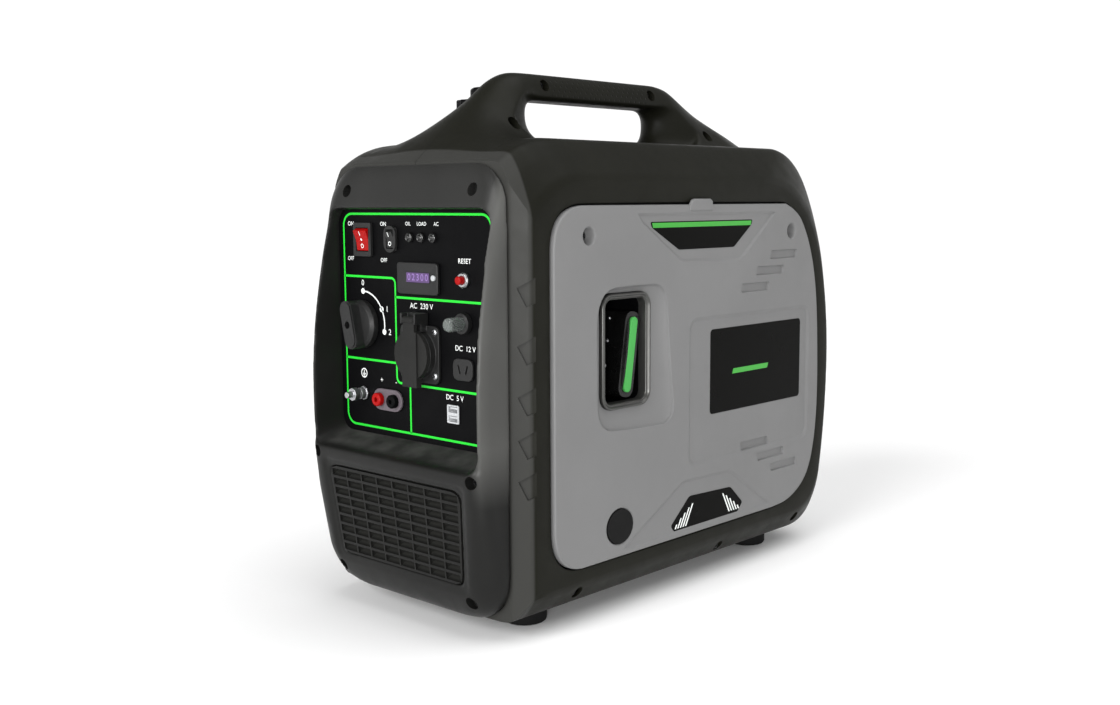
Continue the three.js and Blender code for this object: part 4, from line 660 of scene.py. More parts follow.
# %% Half shells
notch_tops = [299.6, 252, 210, 174, 139.5]
belly_screws = [(-161, 31), (50, 28.5), (184, 33)]
rim_steps = np.array([(HALF_SIDE, 3.0), (127.7, 2.1), (127, 1.7), (118, 1.7)])
FLARE_OUT = np.array([0.6376, -0.7704, 0.0])
WALL = 0.0028
FILLER_X, FILLER_Y, FILLER_RADIUS = -66, -82, 26
front_opening, rear_opening = round_box(-108, 108, 22, 396, 24), round_box(-84, 84, 60, 350, 26)


def notch_mesh(z, side):
    """A four-cornered cutter on the flare: its outline sunk 2.5 mm below the flare, and raised 5 mm above."""
    y, z = np.array([(-228.3, z), (-214, z + 12.5), (-214, z - 9.5), (-223.4, z - 15.5)]).T
    on_flare = np.stack([HALF_SEAM + (y - SEAM_Y) / FLARE_SLOPE, y, z], 1)
    return loft_mesh([(on_flare + rise * FLARE_OUT) * (side, 1, 1) for rise in (-2.5, 5.0)])


def shell_skin(name, side, stands_for):
    """Side outlines from the seam to the side face, then four rings down into the door opening."""
    across = np.unique(np.concatenate([
        [0.15, 0.7, 12, 40, 70, 90, 98, 101, 102.5], np.arange(103.5, 113, 1.4), np.arange(113.5, 124, 0.8),
        [124.5, 125, 125.5, 126, 126.5, 127.1, 127.5, 127.8, 127.95, HALF_SIDE],
    ]))
    rings = np.stack([placed(side_ring(x), "x", x) for x in across])
    # The first ring is a little smaller, so that the two halves meet in a fine groove.
    rings[0, :, 1:] = (rings[0, :, 1:] - (0, 220)) * 0.9975 + (0, 220)
    angle = np.arctan2(rings[-1, :, 2] - MIDDLE_Z, rings[-1, :, 1] - MIDDLE_Y)
    x, margin = rim_steps.T[:, :, None]
    rings = np.concatenate([rings, door_ring(angle, margin, x)])
    faces = grid_faces(*rings.shape[:2], wrap=True)
    mesh = fresh_mesh(rings.reshape(-1, 3) * (side, 1, 1), faces if side > 0 else faces[:, ::-1])
    mesh = worked(mesh, ("SOLIDIFY", {"thickness": WALL, "offset": -1}))
    cutters = [prism_mesh(front_opening, "y", -260, -224), prism_mesh(rear_opening, "y", 200, 290)]
    if side < 0:
        cutters.append(prism_mesh(circle(FILLER_X, FILLER_Y, FILLER_RADIUS, 40), "z", 400, 440))
    cutters += [prism_mesh(circle(y, z, 5.4, 20), "x", 112 * side, 140 * side) for y, z in belly_screws]
    mesh = carve(mesh, merged(cutters))
    mesh = carve(mesh, merged([notch_mesh(z, side) for z in notch_tops]))
    return add_piece(name, outward(mesh), "housing", "shell", stands_for)


hands = {"right": 1, "left": -1}
shells = [shell_skin(f"shell_skin_{hand}", side, [f"{hand}_shell"]) for hand, side in hands.items()]
print("half shells", [len(s.data.polygons) for s in shells])

# %% [markdown]
# The handle is not bolted on: a crest swells out of the deck, climbs in a
# long ramp at the front, and falls in a shorter tail at the back. Each
# section is a dome. The finger opening is cut through it with a tool whose
# ends draw back beside the mid-plane, so that the legs have rounded noses,
# and a voxel remesh with a little smoothing rounds every edge like moulding.

# %% Sections of the crest
def on_deck(y):
    """Place and lean of a section that stands on the deck."""
    return [y, DECK_Z, 0.0]


def on_arc(points, share):
    """Place and lean on a quadratic arc."""
    a, b, c = np.array(points, float)
    at = (1 - share) ** 2 * a + 2 * share * (1 - share) * b + share * share * c
    go = 2 * (1 - share) * (b - a) + 2 * share * (c - b)
    return [at[0], at[1], math.atan2(-go[1], go[0])]


def on_brow(share):
    """Place of a section on the brow, which rounds the deck's front end. It doesn't lean."""
    at = on_arc([(-170, DECK_Z), (-204.1, DECK_Z), (SEAM_Y, DECK_Z)], share)
    return [at[0], DECK_Z - BROW_DROP * share * share, 0.0]


turn_y = float(rear_face(363))
crown = [(turn_y - 68, DECK_Z), (turn_y - 20, 418), (turn_y, 363)]
GRIP_SECTION = [1, 27.3, 4, 1.2]
# Each section: its place and lean, its share of the rise, half its width at the foot, its fold and its fall.
crest_rows = np.array([
    on_brow(1) + [0.006, 92, 2, 2], on_brow(0.59) + [0.127, 84, 2, 2], on_brow(0.24) + [0.33, 76, 2, 2],
    on_deck(-160) + [0.625, 62, 2, 2], on_deck(-141) + [0.86, 54, 2.2, 1.9],
    on_deck(-124) + [0.978, 44, 2.6, 1.7], on_deck(-108) + [1, 32, 3.4, 1.35],
    *[on_deck(y) + GRIP_SECTION for y in (-92, -60, -9, 42, 74)],
    on_deck(90) + [0.989, 32, 3.4, 1.35], on_deck(106) + [0.94, 42, 2.6, 1.7],
    on_deck(124) + [0.805, 50, 2.2, 1.9], on_deck(147) + [0.62, 56, 2, 2],
    on_arc(crown, 0) + [0.45, 62, 2, 2], on_arc(crown, 0.25) + [0.36, 66, 2, 2],
    on_arc(crown, 0.5) + [0.25, 68, 2, 2], on_arc(crown, 0.75) + [0.125, 68, 2, 2],
    on_arc(crown, 1) + [0.01, 66, 2, 2],
])


def crest_mesh(count=61, sunk=-9.0):
    """Domes along the deck and down the crown: height = rise * (1 - |across| ** fold) ** fall."""
    y, z, lean, share, foot, fold, fall = through(crest_rows, 7).T[:, :, None]
    across = np.sin(np.linspace(-1, 1, count) * np.pi / 2)[None, :]
    height = (GRIP_TOP_Z - DECK_Z) * np.minimum(share, 1) * (1 - np.abs(across) ** fold) ** fall
    height = np.concatenate([height, np.full((len(y), 2), sunk)], 1)
    across = np.broadcast_to(np.append(across, (1.0, -1.0)), height.shape)
    return loft_mesh(np.stack([foot * across, y + height * np.sin(lean), z + height * np.cos(lean)], 2))


print("crest sections", len(crest_rows))

# %% Finger opening and handle
GAP_FRONT, GAP_REAR, GAP_LOW, GAP_TOP = -104, 85, 422.4, 462


def finger_gap():
    """The opening: its ends draw back by the square of the distance from the mid-plane."""
    rings, low = [], GAP_LOW
    for x in np.linspace(-62, 62, 41):
        away = min(abs(x), 34)
        back = away * away / 28
        top = GAP_TOP + min(0.06 * max(0, away - 12) ** 2, 6)
        front, rear = GAP_FRONT - back, GAP_REAR + back
        rings.append(placed(np.concatenate([
            bow([front, low + 26], [front, low], [front + 44, low], 12), [[front + 44, low]],
            bow([rear - 34, low], [rear, low], [rear, low + 23], 12), [[rear, low + 23]],
            bow([rear, top - 16], [rear, top], [rear - 16, top], 9), [[rear - 16, top]],
            bow([front + 12, top], [front, top], [front, top - 13], 9), [[front, top - 13]],
        ]), "x", x))
    return loft_mesh(rings)


grip_screws, flank_screws = [(-87, 476), (70, 475.5)], [(-150, 438), (140, 436)]
wells = [prism_mesh(circle(y, z, 5.6, 24), "x", 9, 70) for y, z in grip_screws]
wells += [prism_mesh(circle(y, z, 5.8, 24), "x", 24, 90) for y, z in flank_screws]
crest_body = carve(moulded(carve(crest_mesh(), finger_gap()), 0.0017, 7), merged(wells))
crest = add_piece("crest_handle", crest_body, "housing", "shell", crisp=50)
print("crest", len(crest.data.polygons), "faces")

# %% [markdown]
# Moulded covers are plates with shallow shapes pressed into them. Such a
# plate is worked out on paper first: its outline, its holes and every shape
# are flat loops, joined into triangles, and then a height is worked out for
# each point. The plate's true slopes go in as normals, so that flat areas
# stay flat with few triangles.

# %% Flat loops
def inside_depth(points, outline):
    """How far each point lies inside a closed outline; outside it the value is negative."""
    a = np.asarray(outline, float)
    edge = np.roll(a, -1, 0) - a
    away = points[:, None, :] - a[None]
    along = np.clip((away * edge).sum(-1) / (edge ** 2).sum(-1), 0, 1)
    near = np.sqrt(((away - along[..., None] * edge) ** 2).sum(-1)).min(1)
    y, z = points[:, None, 0], points[:, None, 1]
    crosses = (a[:, 1] > z) != (np.roll(a, -1, 0)[:, 1] > z)
    level = np.where(edge[:, 1] == 0, 1, edge[:, 1])
    meets = a[:, 0] + (z - a[:, 1]) / level * edge[:, 0]
    return near * np.where((crosses & (y < meets)).sum(1) % 2 == 1, 1, -1)


def shrunk(outline, margin):
    """A counter-clockwise outline moved inwards by a margin, corner by corner."""
    p = np.asarray(outline, float)
    before, after = p - np.roll(p, 1, 0), np.roll(p, -1, 0) - p
    before, after = [v / np.linalg.norm(v, axis=1)[:, None] for v in (before, after)]
    normal = np.stack([-(before + after)[:, 1], (before + after)[:, 0]], 1)
    normal /= np.linalg.norm(normal, axis=1)[:, None]
    lean = np.clip(before[:, 0] * normal[:, 1] - before[:, 1] * normal[:, 0], 0.3, 1)
    return p + normal * (margin / lean)[:, None]


def ease(share):
    """Smooth step from 0 to 1, level at both ends."""
    share = np.clip(share, 0, 1)
    return share * share * (3 - 2 * share)


def flat_triangles(loops, grid, border):
    """Points and triangles that keep every loop as edges, inside the first border and outside the others."""
    starts = np.cumsum([0] + [len(loop) for loop in loops])
    edges = []
    for start, loop in zip(starts.tolist(), loops):
        edges += [(start + i, start + (i + 1) % len(loop)) for i in range(len(loop))]
    points = [Vector(p) for p in np.concatenate(loops + [grid])]
    made = delaunay_2d_cdt(points, edges, [], 0, 1e-4)
    flat, faces = np.array([tuple(p) for p in made[0]]), np.array([f for f in made[2] if len(f) == 3])
    middle = flat[faces].mean(1)
    keep = inside_depth(middle, border[0]) > 0
    for loop in border[1:]:
        keep &= inside_depth(middle, loop) < 0
    faces = faces[keep]
    a, b = flat[faces[:, 1]] - flat[faces[:, 0]], flat[faces[:, 2]] - flat[faces[:, 0]]
    turn = a[:, 0] * b[:, 1] - a[:, 1] * b[:, 0]
    faces[turn < 0] = faces[turn < 0][:, ::-1]
    return flat, faces[np.abs(turn) > 1e-9]


print("slope halfway", float(ease(0.5)))

# %% Relief plates
def relief(outline, holes, shapes, surface, wall, lip, spacing=14):
    """A plate's mesh and the true normal of each of its points. Its edges roll off by lip.

    Each shape (outline, depth, slope width) sinks by its depth over the width of its slope, and
    surface(points, height) turns flat points into places.
    """
    border = [np.asarray(loop, float) for loop in (outline, *holes)]
    inward = [1] + [-1] * len(holes)

    def height(points):
        rise = np.zeros(len(points))
        for shape, depth, width in shapes:
            rise -= depth * ease(inside_depth(points, shape) / width)
        for loop, sign in zip(border, inward):
            past = np.clip(1 - sign * inside_depth(points, loop) / lip, 0, 1)
            rise -= lip * (1 - np.sqrt(1 - past ** 2 * 0.999))
        return rise

    def at(points):
        return surface(points, height(points))

    loops = list(border)
    loops += [shrunk(loop, sign * lip * s) for loop, sign in zip(border, inward) for s in (0.12, 0.4, 1.0)]
    loops += [shrunk(shape, width * s) for shape, depth, width in shapes for s in (0, 0.25, 0.5, 0.75, 1.0)]
    spans = [np.arange(low, high, spacing) for low, high in zip(border[0].min(0), border[0].max(0))]
    grid = np.stack(np.meshgrid(*spans), -1).reshape(-1, 2)
    flat, faces = flat_triangles(loops, grid[inside_depth(grid, border[0]) > lip], border)
    step = 0.02
    slopes = [at(flat + side) - at(flat - side) for side in ((step, 0), (0, step))]
    points, faces, normals, count = [at(flat)], faces.tolist(), [np.cross(*slopes)], len(flat)
    for loop, sign in zip(border, inward):
        top, bottom = at(loop), surface(loop, np.full(len(loop), -wall))
        out = np.cross(np.roll(top, -1, 0) - np.roll(top, 1, 0), top - bottom) * sign
        faces += (grid_faces(2, len(loop), wrap=True)[:, ::-sign] + count).tolist()
        points += [top, bottom]
        normals += [out, out]
        count += 2 * len(loop)
    normals = np.concatenate(normals)
    return fresh_mesh(np.concatenate(points), faces), normals / np.linalg.norm(normals, axis=1)[:, None]


print("relief plates ready")

# %% [markdown]
# The service door is a grey plate that fills the side. A V is pressed down
# from its top edge and a low trapezium up from its bottom edge, a soft
# rectangle frames the name plate's place, six short slots decorate its
# corners, and a deep dish with sloping walls surrounds the starter's handle.

# %% Shapes on the door
DOOR_X = 131.0
RECOIL_Y, RECOIL_Z = -99.3, 237.7


def slanted(y, z):
    """A slot's outline: 49 by 9, its two ends leaning the same way."""
    return np.array([(y - 24.5, z - 4), (y - 23, z - 4.6), (y + 22.5, z - 4.6), (y + 24, z - 3.6),
                     (y + 25.5, z + 3.6), (y + 24.5, z + 4.6), (y - 21.5, z + 4.6), (y - 23, z + 3.6)])


def slanted_back(y, z):
    """The same slot turned upside down, still counter-clockwise."""
    outline = slanted(y, z)[::-1]
    return np.stack([outline[:, 0], 2 * z - outline[:, 1]], 1)


door_slots = [slanted(y, z) for y, z in ((144, 315), (119.5, 299.7), (94, 284))]
door_slots += [slanted_back(y, z) for y, z in ((98, 125.8), (125, 111.5), (149, 97))]
vee = [(-91, 359), (-84, 350), (-31, 316), (-24, 313), (66, 311), (73, 313.5), (131, 357), (127, 359)]
plinth = [(-112, 58.5), (131, 58.5), (125, 62), (60, 104), (52, 107), (-19, 108.5), (-27, 105.5), (-106, 63)]
plate_frame = round_box(-14, 196, 118, 261, 13, 6)
dish_mouth = np.concatenate([
    bow([-143, 262], [-143, 291], [-121, 294], 6), bow([-121, 294], [-95, 295.5], [-66, 294.8], 3),
    bow([-66, 294.8], [-50, 294], [-47.6, 279], 6), bow([-47.6, 279], [-44, 230], [-37.5, 186], 3),
    bow([-37.5, 186], [-36, 168], [-52, 167], 6), bow([-52, 167], [-90, 167], [-124, 170], 3),
    bow([-124, 170], [-143, 172], [-143, 196], 6),
])[::-1]
dish_floor = round_box(RECOIL_Y - 35, RECOIL_Y + 35, RECOIL_Z - 52.5, RECOIL_Z + 52.5, 13, 7)
plug_seat = oval(-113.5, 82, 17.9, 16.1, 40)
door_screws = [(-154, 340), (158, 338)]
print("door slots", len(door_slots))

# %% Service door
def side_surface(points, height):
    """A flat side face: the two numbers are Y and Z, and the height stands out along X."""
    return placed(points, "x", DOOR_X + height)


door_holes = [dish_mouth, plug_seat] + [circle(y, z, 7.4, 28) for y, z in door_screws]
VEE_DEPTH, PLINTH_DEPTH, FRAME_DEPTH, SLOT_DEPTH = 2.0, 1.6, 2.0, 2.6
door_shapes = [(vee, VEE_DEPTH, 3.6), (plinth, PLINTH_DEPTH, 3.6), (plate_frame, FRAME_DEPTH, 5.0)]
door_shapes += [(slot, SLOT_DEPTH, 1.2) for slot in door_slots]
door_outline = shrunk(door_edge, 0.2)
mesh, normals = relief(door_outline, door_holes, door_shapes, side_surface, wall=5.4, lip=1.6)
door = add_piece("service_door_skin", mesh, "service_door", "door", ["service_door"], normals=normals)
print("door", len(door.data.polygons), "faces")

# %% [markdown]
# The dish is a skin between two outlines, its mouth and the ring's seat. Both
# are read at the same angles about the handle's middle, so that the rings
# between them don't twist. Small cups line the door's screw holes.

# %% Dish round the handle
def read_round(outline, count=96):
    """A closed outline as points at even angles about the handle's middle, the first straight below it."""
    angle = np.pi / 2 - np.linspace(-np.pi, np.pi, count, endpoint=False)
    reach = reach_from((RECOIL_Y, RECOIL_Z), outline, 4 * count)(angle)
    return np.stack([RECOIL_Y + reach * np.cos(angle), RECOIL_Z + reach * np.sin(angle)], 1)


def dish_mesh(wall=2.2):
    """Rings from the mouth to the floor and in to the bezel, then back along a thin wall."""
    mouth, bottom = read_round(dish_mouth), read_round(dish_floor)
    shares = [(0, 129.4), (0.02, 128.95), (0.1, 127.6), (0.24, 126.1), (0.45, 124.9), (0.7, 124.1),
              (0.9, 123.65), (1.02, 123.5), (1.12, 123.5)]
    rings = [placed(mouth + (bottom - mouth) * share, "x", x) for share, x in shares]
    return hoop_mesh(rings + [ring - (wall, 0, 0) for ring in rings[::-1]])


def cup_mesh(y, z):
    """A turned cup: circles of a radius at an X, down the well, in to the hole and back outside the wall."""
    profile = [(7.4, 129.5), (7.2, 129), (6.6, 121.5), (3.2, 121), (3.2, 119.5), (8.4, 119.5), (8.4, 127.5)]
    return hoop_mesh([placed(circle(y, z, r, 28), "x", x) for r, x in profile])


add_piece("recoil_dish", dish_mesh(), "service_door", "door", crisp=60)
add_piece("door_screw_cups", merged([cup_mesh(y, z) for y, z in door_screws]), "service_door", "door")
tab = [(-15, 360), (21, 360), (20.5, 369), (17, 371), (-7, 371), (-10.5, 370), (-13.5, 366)]
door_tab = add_piece("door_tab", prism_mesh(tab, "x", 128.6, 131.9), "service_door", "door")
bevel_edges(door_tab, 0.9, 3)
print("dish,", len(door_screws), "cups and tab")

# %% [markdown]
# The front cover is a softly arched face with rounded vertical edges. A deep
# recess with a sloping sill holds the control panel, and a shallower one
# below the ridge holds the air grille. The solid is cut to shape first, then
# remeshed and smoothed, which gives all its edges one moulded radius.

# %% Sections of the front cover
RIDGE_Z, RIDGE_Y, PANEL_Y = 151, -269.8, -235.5
COVER_LOW, COVER_TOP = 16.8, 402.7
BOTH_SIDES = (-1, 1)
cover_screws = [(side * x, z) for x, z in ((82.3, 379.4), (102.5, 143), (86.4, 35.5)) for side in BOTH_SIDES]


def lower_face(z):
    """Below the ridge, the face leans back by 0.11 for each millimetre down."""
    return RIDGE_Y + 0.11 * (RIDGE_Z - z)


def cover_face(z):
    """An arc above the ridge, a lean below it, rounded at the top and the bottom."""
    z = np.asarray(z, float)
    face = np.where(z > RIDGE_Z, -270 + 0.00082 * (z - 196) ** 2, lower_face(z))
    return face + edge_fall(z, COVER_TOP, 14, 3) + edge_fall(-z, -COVER_LOW, 40, 18.5)


def cover_ring(z, corners=12):
    """Plan section at a height: back corners, rounded vertical edges and a flat face."""
    half = HALF_SEAM - max(float(edge_fall(z, COVER_TOP, 38, 38)), float(edge_fall(-z, -COVER_LOW, 40, 40)))
    radius = 14 + 4.5 * np.clip((z - 230) / 110, 0, 1) + 12 * np.clip((110 - z) / 70, 0, 1)
    face, back = float(cover_face(z)), SEAM_Y - 0.3
    deep = min(radius, back - face)
    turn = np.linspace(0, np.pi / 2, corners)
    x, y = half - radius * (1 - np.cos(turn)), face + deep * (1 - np.sin(turn))
    ring = np.concatenate([[[-half, back]], np.stack([-x, y], 1), np.stack([x, y], 1)[::-1], [[half, back]]])
    return placed(ring, "z", z)


def recess_ring(y):
    """Outline of the panel recess at a depth: wider towards the front, with a sloping sill."""
    share = (PANEL_Y - y) / (PANEL_Y - RIDGE_Y)
    half = 104 + 4 * share
    return placed(round_box(-half, half, 160 - 12 * share, 363 + 3 * share, 12, 7), "y", y)


def grille_outline(margin):
    """The grille's place: a little wider at the top, with rounded corners."""
    low, high, a, b, r = 50 + margin, 132 - margin, 81 - margin, 87 - margin, 9
    return np.concatenate([
        bow([a, low + r], [a, low], [a - r, low], 6), bow([-a + r, low], [-a, low], [-a, low + r], 6),
        bow([-b, high - r], [-b, high], [-b + r, high], 6), bow([b - r, high], [b, high], [b, high - r], 6),
    ])


ends = 1 - np.cos(np.linspace(0, np.pi / 2, 14))
cover_heights = np.unique(np.concatenate([
    COVER_LOW + 40 * ends, np.linspace(60, 150, 16), [RIDGE_Z],
    np.linspace(152, 364, 40), COVER_TOP - 38 * ends,
]))
print("cover sections", len(cover_heights))

# %% Front cover
rim_side = [(lower_face(z) + out, z) for z, out in ((36, -20), (145, -20), (145, 1.6), (36, 1.6))]
rim_slab = prism_mesh(rim_side, "x", -120, 120)
rim = carve(prism_mesh(grille_outline(-7), "y", -290, -240), rim_slab, "INTERSECT")
recess = loft_mesh([recess_ring(SEAM_Y + 4), recess_ring(RIDGE_Y - 12)])
cover_body = loft_mesh([cover_ring(z) for z in cover_heights])
for tool in (recess, rim, prism_mesh(grille_outline(0), "y", -290, -225)):
    cover_body = carve(cover_body, tool)
wells = [prism_mesh(circle(x, z, 5.6, 24), "y", -290, float(cover_face(z)) + 9) for x, z in cover_screws]
cover_body = carve(moulded(cover_body, 0.00122, 30), merged(wells))
cover = add_piece("front_cover_skin", cover_body, "housing", "shell", ["front_cover"], 50, cover_plastic)
print("front cover", len(cover.data.polygons), "faces")

# %% [markdown]
# Many small parts already have the right shape in the frame, only with hard
# edges and flat facets. A merged copy of each one, with a fine bevel and
# smooth shading, catches the light along its edges as a real moulding does.

# %% Bevelled copies of small parts
def polished(node, width, crisp=38):
    """A copy of a frame part: triangles of one plane joined, edges rounded by a width in millimetres."""
    work = bmesh.new()
    work.from_mesh(frame["nodes"][node].data)
    bmesh.ops.remove_doubles(work, verts=work.verts, dist=2e-6)
    bmesh.ops.dissolve_limit(work, angle_limit=math.radians(1.5), verts=work.verts, edges=work.edges)
    mesh = bpy.data.meshes.new("shape")
    work.to_mesh(mesh)
    work.free()
    slot, finish = node_slot[node], own_finish.get(node)
    piece = add_piece(node + "_skin", mesh, carrier[node], slot, [node], crisp, finish)
    if width:
        bevel_edges(piece, width, past=crisp)


edge_widths = {
    "rear_cover": 0.8, "left_cover": 1.2, "door_plug": 0.3, "recoil_handle": 2.2, "recoil_grip_insert": 0.7,
    "engine_switch_bezel": 0.6, "engine_switch_rocker": 0.8, "eco_switch_bezel": 0.6,
    "eco_switch_rocker": 0.8, "engine_knob": 1.2, "display_housing": 0.7, "display_button": 0.6,
    "reset_collar": 0.5, "reset_button": 0.8, "breaker_base": 0.5, "breaker_button": 1.2, "ac_socket": 0.7,
    "dc_outlet": 0.5, "usb_outlet": 0.35, "parallel_plate": 0.4, "parallel_socket_red": 0.6,
    "parallel_socket_black": 0.6, "ground_terminal": 0.5, "fuel_cap": 1.0, "fuel_cap_vent": 0.9,
    **{f"foot_{end}_{side}": 1.5 for end in ("front", "rear") for side in ("left", "right")},
    "front_grille": 0, "control_panel": 0, "ac_socket_flap": 0.8, "indicator_lamps": 0.4,
}
own_finish = {
    "engine_knob": knob_black, "eco_switch_rocker": knob_black, "ac_socket": knob_black,
    "breaker_base": knob_black, "display_housing": knob_black, "engine_switch_bezel": bezel_black,
    "eco_switch_bezel": bezel_black, "dc_outlet": bezel_black, "recoil_handle": grip_black,
    "front_grille": grille_plastic, "ac_socket_flap": flap_rubber, "indicator_lamps": lamp_black,
}
for node, width in edge_widths.items():
    polished(node, width)
print("bevelled copies", len(edge_widths))

# %% [markdown]
# The panel's fields are printed with bright green lines. The shader could
# paint them, but a flat ribbon a tenth of a millimetre above the plate stays
# crisp from every side. It follows a path with rounded corners.

# %% Printed lines
def rounded_path(points, radius, steps=7):
    """A path whose inner corners are replaced by quadratic arcs that start a radius away."""
    p = np.asarray(points, float)
    parts = [p[:1]]
    for a, b, c in zip(p[:-2], p[1:-1], p[2:]):
        start = b + (a - b) / np.linalg.norm(a - b) * radius
        end = b + (c - b) / np.linalg.norm(c - b) * radius
        parts += [bow(start, b, end, steps), [end]]
    return np.concatenate(parts + [p[-1:]])


def printed(flat, faces, depth):
    """Flat points (X, Z) as a mesh that faces the front. Depth is a number or a function of the points."""
    return fresh_mesh(placed(flat, "y", depth(flat) if callable(depth) else depth), faces)


def ribbon(path, width, depth, closed=False):
    """A flat strip: the path moved half its width to either side, square to its direction."""
    p = np.asarray(path, float)
    along = np.roll(p, -1, 0) - np.roll(p, 1, 0) if closed else np.gradient(p, axis=0)
    along /= np.linalg.norm(along, axis=1)[:, None]
    out = np.stack([-along[:, 1], along[:, 0]], 1) * width / 2
    n = len(p)
    pair = np.arange(n if closed else n - 1)
    faces = np.stack([pair, pair + n, (pair + 1) % n + n, (pair + 1) % n], 1)
    return printed(np.concatenate([p + out, p - out]), faces, depth)


def dot(x, z, radius, depth):
    """A flat round dot."""
    return printed(circle(x, z, radius, 28), [range(28)], depth)


def hoop(x, z, radius, inner, depth):
    """A flat ring between two radii."""
    return ribbon(circle(x, z, (radius + inner) / 2, 36), radius - inner, depth, closed=True)


INK_Y, LINE_WIDTH = PANEL_Y - 0.12, 2.0
FIELD_X, FIELD_LOW, FIELD_HIGH, SPLIT_X, SOCKETS_Z = 97, 166, 359, -25.6, 209.8
green_ink = grained("green_ink", (34, 196, 50), 0.45, grain=0.00002, tone=0.03, Specular_IOR_Level=0.2)
frame_path = round_box(-FIELD_X, FIELD_X, FIELD_LOW, FIELD_HIGH, 11, 8)
panel_lines = [ribbon(frame_path, LINE_WIDTH, INK_Y, closed=True)]
panel_lines += [ribbon(path, LINE_WIDTH, INK_Y) for path in (
    rounded_path([(-FIELD_X, 302.6), (SPLIT_X, 302.6), (SPLIT_X, SOCKETS_Z), (FIELD_X, SOCKETS_Z)], 6),
    [(SPLIT_X, 286), (FIELD_X, 286)], [(-FIELD_X, 227.3), (SPLIT_X, 227.3)],
    [(-7.7, SOCKETS_Z), (-7.7, FIELD_LOW)],
)]
add_piece("panel_lines", merged(panel_lines), "housing", "green_rubber", finish=green_ink)
print("panel lines", len(panel_lines))

# %% [markdown]
# The panel's marks are plain words and signs in white ink. Blender's own font
# gives flat lettering, which becomes a mesh before its place is applied.

# %% Panel marks
def flat_text(words, size, place, depth):
    """Plain lettering as a flat mesh, centred on its place in the panel's plane."""
    curve = bpy.data.curves.new("lettering", "FONT")
    curve.body, curve.size, curve.resolution_u = words, size, 3
    curve.align_x, curve.align_y = "CENTER", "CENTER"
    mesh = worked(curve)
    flat = np.empty(len(mesh.vertices) * 3)
    mesh.vertices.foreach_get("co", flat)
    flat = flat.reshape(-1, 3)[:, :2] + place
    mesh.vertices.foreach_set("co", (placed(flat, "y", depth) * 0.001).ravel())
    mesh.update()
    return mesh


KNOB_X, KNOB_Z, SCALE_RADIUS = -71.0, 259.7, 29.7
EARTH_X, EARTH_Z = -72, 214


def on_scale(degrees):
    """Places on the arc round the knob, from straight up, clockwise."""
    turn = np.radians(degrees)
    return np.stack([KNOB_X + SCALE_RADIUS * np.sin(turn), KNOB_Z + SCALE_RADIUS * np.cos(turn)], -1)


white_ink = grained("white_ink", (225, 228, 226), 0.5, grain=0.00002, tone=0.03)
marks = [ribbon(on_scale(np.linspace(4, 97, 30)), 1.3, INK_Y)]
marks += [dot(*on_scale(degrees), 2.6, INK_Y) for degrees in (0, 61, 101)]
marks += [flat_text(words, size, place, INK_Y) for words, size, place in (
    ("0", 7.5, (-71, 296.8)), ("1", 7.5, (-37.5, 274.5)), ("2", 7.5, (-34.2, 254)),
    ("ON", 5.6, (-86.5, 350)), ("OFF", 5.2, (-87.5, 318.5)),
    ("ON", 5.2, (-40.5, 350)), ("OFF", 5.2, (-40.5, 318)),
    ("OIL", 4.6, (-6.8, 350.5)), ("LOAD", 4.6, (11, 350.5)), ("AC", 4.6, (29.8, 350.5)),
    ("AC  230 V", 7, (9, 279.5)), ("RESET", 6, (64.5, 320)), ("DC  12 V", 6.5, (64, 246.5)),
    ("DC  5 V", 6.5, (50, 203.5)), ("+", 7, (-47, 210)), ("-", 7, (-27, 210)),
)]
marks.append(hoop(EARTH_X, EARTH_Z + 0.5, 4.4, 3.5, INK_Y))
for half, z in ((2.4, EARTH_Z - 0.1), (1.5, EARTH_Z - 1.4), (0.7, EARTH_Z - 2.6)):
    marks.append(ribbon([(EARTH_X - half, z), (EARTH_X + half, z)], 0.7, INK_Y))
marks.append(ribbon([(EARTH_X, EARTH_Z), (EARTH_X, EARTH_Z + 3.4)], 0.8, INK_Y))
add_piece("panel_marks", merged(marks), "housing", "silver_plastic", finish=white_ink)
print("panel marks", len(marks))

# %% [markdown]
# A rocker's face is bent, so its printed marks are laid on it: each point
# of a mark takes the depth of the face behind it. The marks ride on their
# rocker and tip with it.

# %% Rocker marks
def front_depth(node, points):
    """The lowest Y at which a part's triangles cover each point (X, Z).

    A point is a plus shares of the sides b and c of every triangle. It is covered where neither share
    is below 0 and their sum is at most 1, and the same shares then give its Y.
    """
    part = frame["nodes"][node].data
    place, corner = np.empty(len(part.vertices) * 3), np.empty(len(part.loops), np.int32)
    part.vertices.foreach_get("co", place)
    part.loops.foreach_get("vertex_index", corner)
    a, b, c = (place.reshape(-1, 3)[corner.reshape(-1, 3)] * 1000).transpose(1, 0, 2)
    b, c = b - a, c - a
    area = b[:, 0] * c[:, 2] - b[:, 2] * c[:, 0]
    a, b, c, area = [v[np.abs(area) > 1e-6] for v in (a, b, c, area)]
    x, z = (points[:, None] - a[:, ::2]).transpose(2, 0, 1)
    share_b, share_c = (x * c[:, 2] - z * c[:, 0]) / area, (z * b[:, 0] - x * b[:, 2]) / area
    covered = np.minimum(np.minimum(share_b, share_c), 1 - share_b - share_c) > -1e-6
    return np.where(covered, a[:, 1] + share_b * b[:, 1] + share_c * c[:, 1], np.inf).min(1)


def add_rocker_marks(node, x, bar_z, ring_z, dot_z=None):
    """A bar for on and a ring for off, laid just in front of a rocker."""
    def depth(points):
        return front_depth(node, points) - 0.12

    made = [ribbon([(x, bar_z - 1.9), (x, bar_z + 1.9)], 0.8, depth), hoop(x, ring_z, 2.0, 1.35, depth)]
    if dot_z is not None:
        made.append(dot(x, dot_z, 1.1, depth))
    add_piece(node + "_marks", merged(made), node, "silver_plastic", finish=white_ink)


